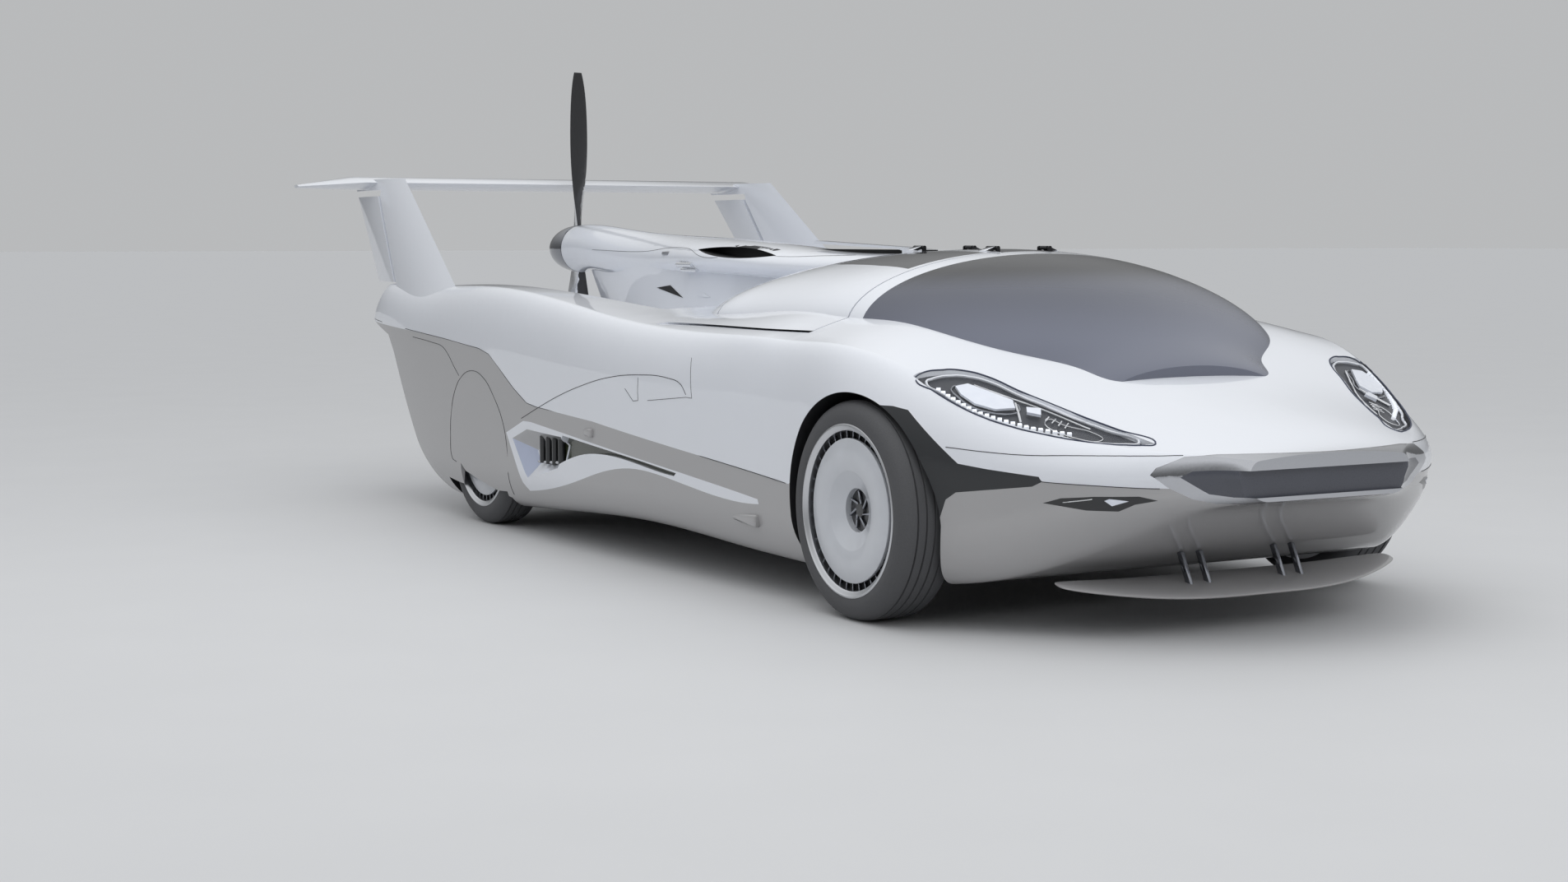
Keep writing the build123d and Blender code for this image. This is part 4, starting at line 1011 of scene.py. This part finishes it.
def cushion(name):
    made = copy_of(nodes["seats"], name)
    made.data.materials.clear()
    keep_faces(made, lambda face: face.center.x < 0)
    open_all(made)
    bpy.ops.mesh.remove_doubles(threshold=WELD_PANEL)
    bpy.ops.mesh.normals_make_consistent(inside=False)
    done()
    modify(made, "DISPLACE", strength=SEAT_START, mid_level=0.0)
    modify(made, "REMESH", mode="VOXEL", voxel_size=SEAT_VOXEL)
    swell(made)
    modify(made, "SUBSURF", levels=1, render_levels=1)
    smooth(made, 60)
    name_piece(made, name, leather, "body", SLOTS["seats"], ("seats",))
    return made


def swell(obj):
    """Blow the cushion up with cloth pressure, no point farther than the limit."""
    start = [vertex.co.copy() for vertex in obj.data.vertices]
    take(obj)
    cloth = obj.modifiers.new("cloth", "CLOTH")
    cloth.settings.use_pressure = True
    cloth.settings.uniform_pressure_force = SEAT_PRESSURE
    cloth.settings.effector_weights.gravity = 0.0
    cloth.point_cache.frame_start = 1
    cloth.point_cache.frame_end = SEAT_STEPS
    for step in range(SEAT_STEPS):
        bpy.context.scene.frame_set(step + 1)
    bpy.ops.object.modifier_apply(modifier=cloth.name)
    bpy.context.scene.frame_set(1)
    for vertex, place in zip(obj.data.vertices, start):
        shift = vertex.co - place
        if shift.length > SEAT_SWELL:
            vertex.co = place + shift * (SEAT_SWELL / shift.length)


seat = cushion("seat_cushion_right")
other_seat = mirrored(seat, "seat_cushion_left")


# Small fittings on the flanks and the nacelle.
def pad(name, middle, size, on, finish, taper):
    """A raised pad with rounded corners, narrowed towards its rear, seated on the panel; its mirror too."""
    place, _ = lie_on(on, middle)
    bpy.ops.object.select_all(action="DESELECT")
    bpy.ops.mesh.primitive_cube_add(size=0.001)
    obj = bpy.context.object
    bpy.ops.object.mode_set(mode="EDIT")
    bpy.ops.transform.resize(value=size)
    done()
    pick(obj, lambda face: face.normal.y > 0.9)
    bpy.ops.transform.resize(value=(taper, 1, taper))
    bpy.ops.mesh.select_all(action="SELECT")
    bpy.ops.mesh.bevel(offset=min(size) * 0.0003, segments=3, affect="EDGES")
    done()
    obj.location = place
    settle(obj)
    name_piece(smooth(obj, 45), name + "_right", finish, "body", "grey_paint")
    mirrored(obj, name + "_left")


pad("flank_tab", (-1072, -90, 458), (24, 70, 34), lower, grey_paint, 0.7)
pad("flank_drop", (-997, -1150, 247), (26, 180, 44), lower, grey_paint, 0.35)
seam("nacelle_crease", [
    (-64, -317, 1106), (-106, -143, 1102), (-155, 26, 1098), (-222, 500, 1090), (-222, 640, 1094),
    (-173, 869, 1128), (-130, 1390, 1111), (-118, 1934, 1117)], nacelle, True, SEAM_FINE)
GRILLE = [(428, 350), (330, 378), (195, 410), (136, 392), (170, 324), (400, 308)]
GRILLE_X = -1046
grille_rim = wire(
    "grille_rim_right", [(GRILLE_X, y, z) for y, z in GRILLE], white_paint, "body", None, 0.0045, True)
mirrored(grille_rim, "grille_rim_left")
FEET = [(206, 322), (262, 318), (318, 314), (374, 312)]
FOOT_X = -1.066
FOOT_R = 0.009
feet = []
for y, z in FEET:
    bpy.ops.object.select_all(action="DESELECT")
    bpy.ops.mesh.primitive_uv_sphere_add(
        segments=20, ring_count=12, radius=FOOT_R, location=(FOOT_X, y / 1000, z / 1000))
    foot = bpy.context.object
    open_all(foot)
    bpy.ops.transform.resize(value=(1, 1.3, 0.7), center_override=foot.location)
    done()
    settle(foot)
    feet.append(foot)
slat_feet = name_piece(smooth(join(feet), 60), "slat_feet_right", chrome, "body", "chrome")
mirrored(slat_feet, "slat_feet_left")

# Nacelle and tail fittings: lugs, markers, the spinner's boss, tail lamps and stops on the dome's edge.
PYLON_MARKER = [
    (-159, 800, 944), (-160, 735, 940), (-160, 680, 926), (-160, 745, 925), (-159, 793, 931)]
TAIL_LAMP = [
    (-700, 2290, 800), (-830, 2290, 806), (-960, 2285, 806), (-1030, 2275, 800), (-1025, 2280, 786),
    (-960, 2288, 789), (-830, 2290, 789), (-700, 2290, 784)]
NACELLE_RECESS_SHADE = [(-146, 1205, 956), (-152, 1068, 969), (-164, 928, 919)]
EDGE_STOPS = [(-255, -290, 1060), (-331, -137, 1022), (-650, 30, 854)]
SPINNER_Z = 1.120
BOSS_R = 0.021
BOSS_LONG = 0.030
BOSS_SUNK = 0.004
BLADE_EDGE = 0.72

pad("nacelle_lug", (-164, 1080, 1104), (16, 66, 20), nacelle, steel, 0.7)
marker = lens("pylon_marker_right", PYLON_MARKER, white_paint, nacelle, 0.0, 0.004)
mirrored(marker, "pylon_marker_left")
# Painted shade: a thin near-black plate laid on the nacelle stands for the shade in a recess.
recess_shade = lens("nacelle_recess_right", NACELLE_RECESS_SHADE, opening_shade, nacelle, 0.0, 0.002, "black_trim")
mirrored(recess_shade, "nacelle_recess_left")
tail_lamp = lens("tail_lamp_right", TAIL_LAMP, lens_red, upper, 0.0, 0.004)
mirrored(tail_lamp, "tail_lamp_left")
for n, spot in enumerate(EDGE_STOPS):
    pad(f"edge_stop_{n}", spot, (16, 22, 12), upper, chrome, 0.8)

spinner_end = max(vertex.co.y for vertex in bpy.data.objects["spinner_panel"].data.vertices)
bpy.ops.object.select_all(action="DESELECT")
bpy.ops.mesh.primitive_cylinder_add(
    vertices=32, radius=BOSS_R, depth=BOSS_LONG, location=(0, spinner_end - BOSS_SUNK, SPINNER_Z),
    rotation=(math.pi / 2, 0, 0))
boss = bpy.context.object
settle(boss)
pick(boss, lambda face: face.normal.y > 0.9)
bpy.ops.mesh.inset(thickness=0.006)
bpy.ops.mesh.extrude_region_move(TRANSFORM_OT_translate={"value": (0, 0.008, 0)})
bpy.ops.mesh.select_all(action="SELECT")
bpy.ops.mesh.bevel(offset=0.0025, segments=2, affect="EDGES")
done()
name_piece(smooth(boss, 40), "spinner_boss", chrome, "propeller", "chrome")
second_finish(bpy.data.objects["propeller_panel"], bright_alloy, lambda face: abs(face.normal.x) > BLADE_EDGE)

# Slanted front wing links in place of the plain posts.
LINK_X = (0.145, 0.216)
LINK_Y = -2.488
LINK_LOW_Z = 0.140
LINK_LEAN = 0.048
LINK_RISE = 0.098


def wing_link(side, x):
    bpy.ops.object.select_all(action="DESELECT")
    bpy.ops.mesh.primitive_cube_add(size=0.001, location=(SIDES[side] * x, LINK_Y, LINK_LOW_Z))
    link = bpy.context.object
    open_all(link)
    bpy.ops.transform.resize(value=(12, 26, 1), center_override=link.location)
    done()
    pick(link, lambda face: face.normal.z > 0.9)
    bpy.ops.transform.translate(value=(0, LINK_LEAN, LINK_RISE))
    bpy.ops.mesh.select_all(action="SELECT")
    bpy.ops.mesh.bevel(offset=0.0035, segments=3, affect="EDGES")
    done()
    settle(link)
    name = f"wing_link_{side}_{int(x * 1000)}"
    name_piece(smooth(link, 40), name, dark_chrome, "body", SLOTS["front_wing_links"], ("front_wing_links",))


for side in SIDES:
    for x in LINK_X:
        wing_link(side, x)


# Camera, light and stage.
CAMERA_PLACE = (-4.630, -7.839, 1.170)
CAMERA_WAY = (0.4923, 0.8704)
CAMERA_PITCH = math.radians(5.0)
PHOTO_WIDTH = 1906.0
FOCAL_PIXELS = 2817.0
SENSOR_WIDTH = 36.0
FLOOR_SIZE = 400


def aim(obj, towards):
    obj.rotation_mode = "QUATERNION"
    obj.rotation_quaternion = Vector(towards).to_track_quat("-Z", "Y")


camera = bpy.data.objects.new("camera", bpy.data.cameras.new("camera"))
bpy.context.scene.collection.objects.link(camera)
camera.location = CAMERA_PLACE
camera.data.sensor_width = SENSOR_WIDTH
camera.data.lens = FOCAL_PIXELS * SENSOR_WIDTH / PHOTO_WIDTH
level = math.cos(CAMERA_PITCH)
aim(camera, (CAMERA_WAY[0] * level, CAMERA_WAY[1] * level, -math.sin(CAMERA_PITCH)))
bpy.context.scene.camera = camera

bpy.ops.object.select_all(action="DESELECT")
bpy.ops.mesh.primitive_plane_add(size=FLOOR_SIZE, location=(0, 0, 0))
floor = bpy.context.object
floor.name = "floor"
floor_finish = Finish("floor", Roughness=0.6)
dust = floor_finish.noise(2.0, 6.0)
floor_finish.set(Base_Color=floor_finish.mix(dust, (0.62, 0.625, 0.635), (0.65, 0.655, 0.665)))
floor.data.materials.append(floor_finish.material)

# World: brightest overhead and darker towards the horizon; the camera sees one pale colour.
world = bpy.data.worlds.new("studio")
world.use_nodes = True
bpy.context.scene.world = world
tree = world.node_tree
background = tree.nodes["Background"]
rays = tree.nodes.new("ShaderNodeLightPath")
direction = tree.nodes.new("ShaderNodeTexCoord")
split = tree.nodes.new("ShaderNodeSeparateXYZ")
climb = tree.nodes.new("ShaderNodeMapRange")
climb.interpolation_type = "SMOOTHSTEP"
for name, value in (("From Min", -0.02), ("From Max", 0.65), ("To Min", 0.16), ("To Max", 0.88)):
    climb.inputs[name].default_value = value
pale = tree.nodes.new("ShaderNodeMix")
pale.inputs[3].default_value = 0.50
background.inputs["Color"].default_value = (0.97, 0.985, 1.0, 1.0)
tree.links.new(direction.outputs["Generated"], split.inputs[0])
tree.links.new(split.outputs["Z"], climb.inputs["Value"])
tree.links.new(rays.outputs["Is Camera Ray"], pale.inputs[0])
tree.links.new(climb.outputs[0], pale.inputs[2])
tree.links.new(pale.outputs[0], background.inputs["Strength"])


def softbox(name, place, towards, size, power):
    lamp = bpy.data.objects.new(name, bpy.data.lights.new(name, "AREA"))
    bpy.context.scene.collection.objects.link(lamp)
    lamp.location = place
    lamp.data.shape = "RECTANGLE"
    lamp.data.size, lamp.data.size_y = size
    lamp.data.energy = power
    lamp.visible_glossy = False
    aim(lamp, Vector(towards) - Vector(place))


softbox("top_light", (-1.5, -1.5, 6.0), (0, 0, 0.6), (5.0, 7.0), 110)
softbox("front_light", (1.0, -9.0, 4.0), (0, -2.0, 0.6), (5.0, 2.5), 60)

bpy.context.scene.view_settings.view_transform = "Standard"
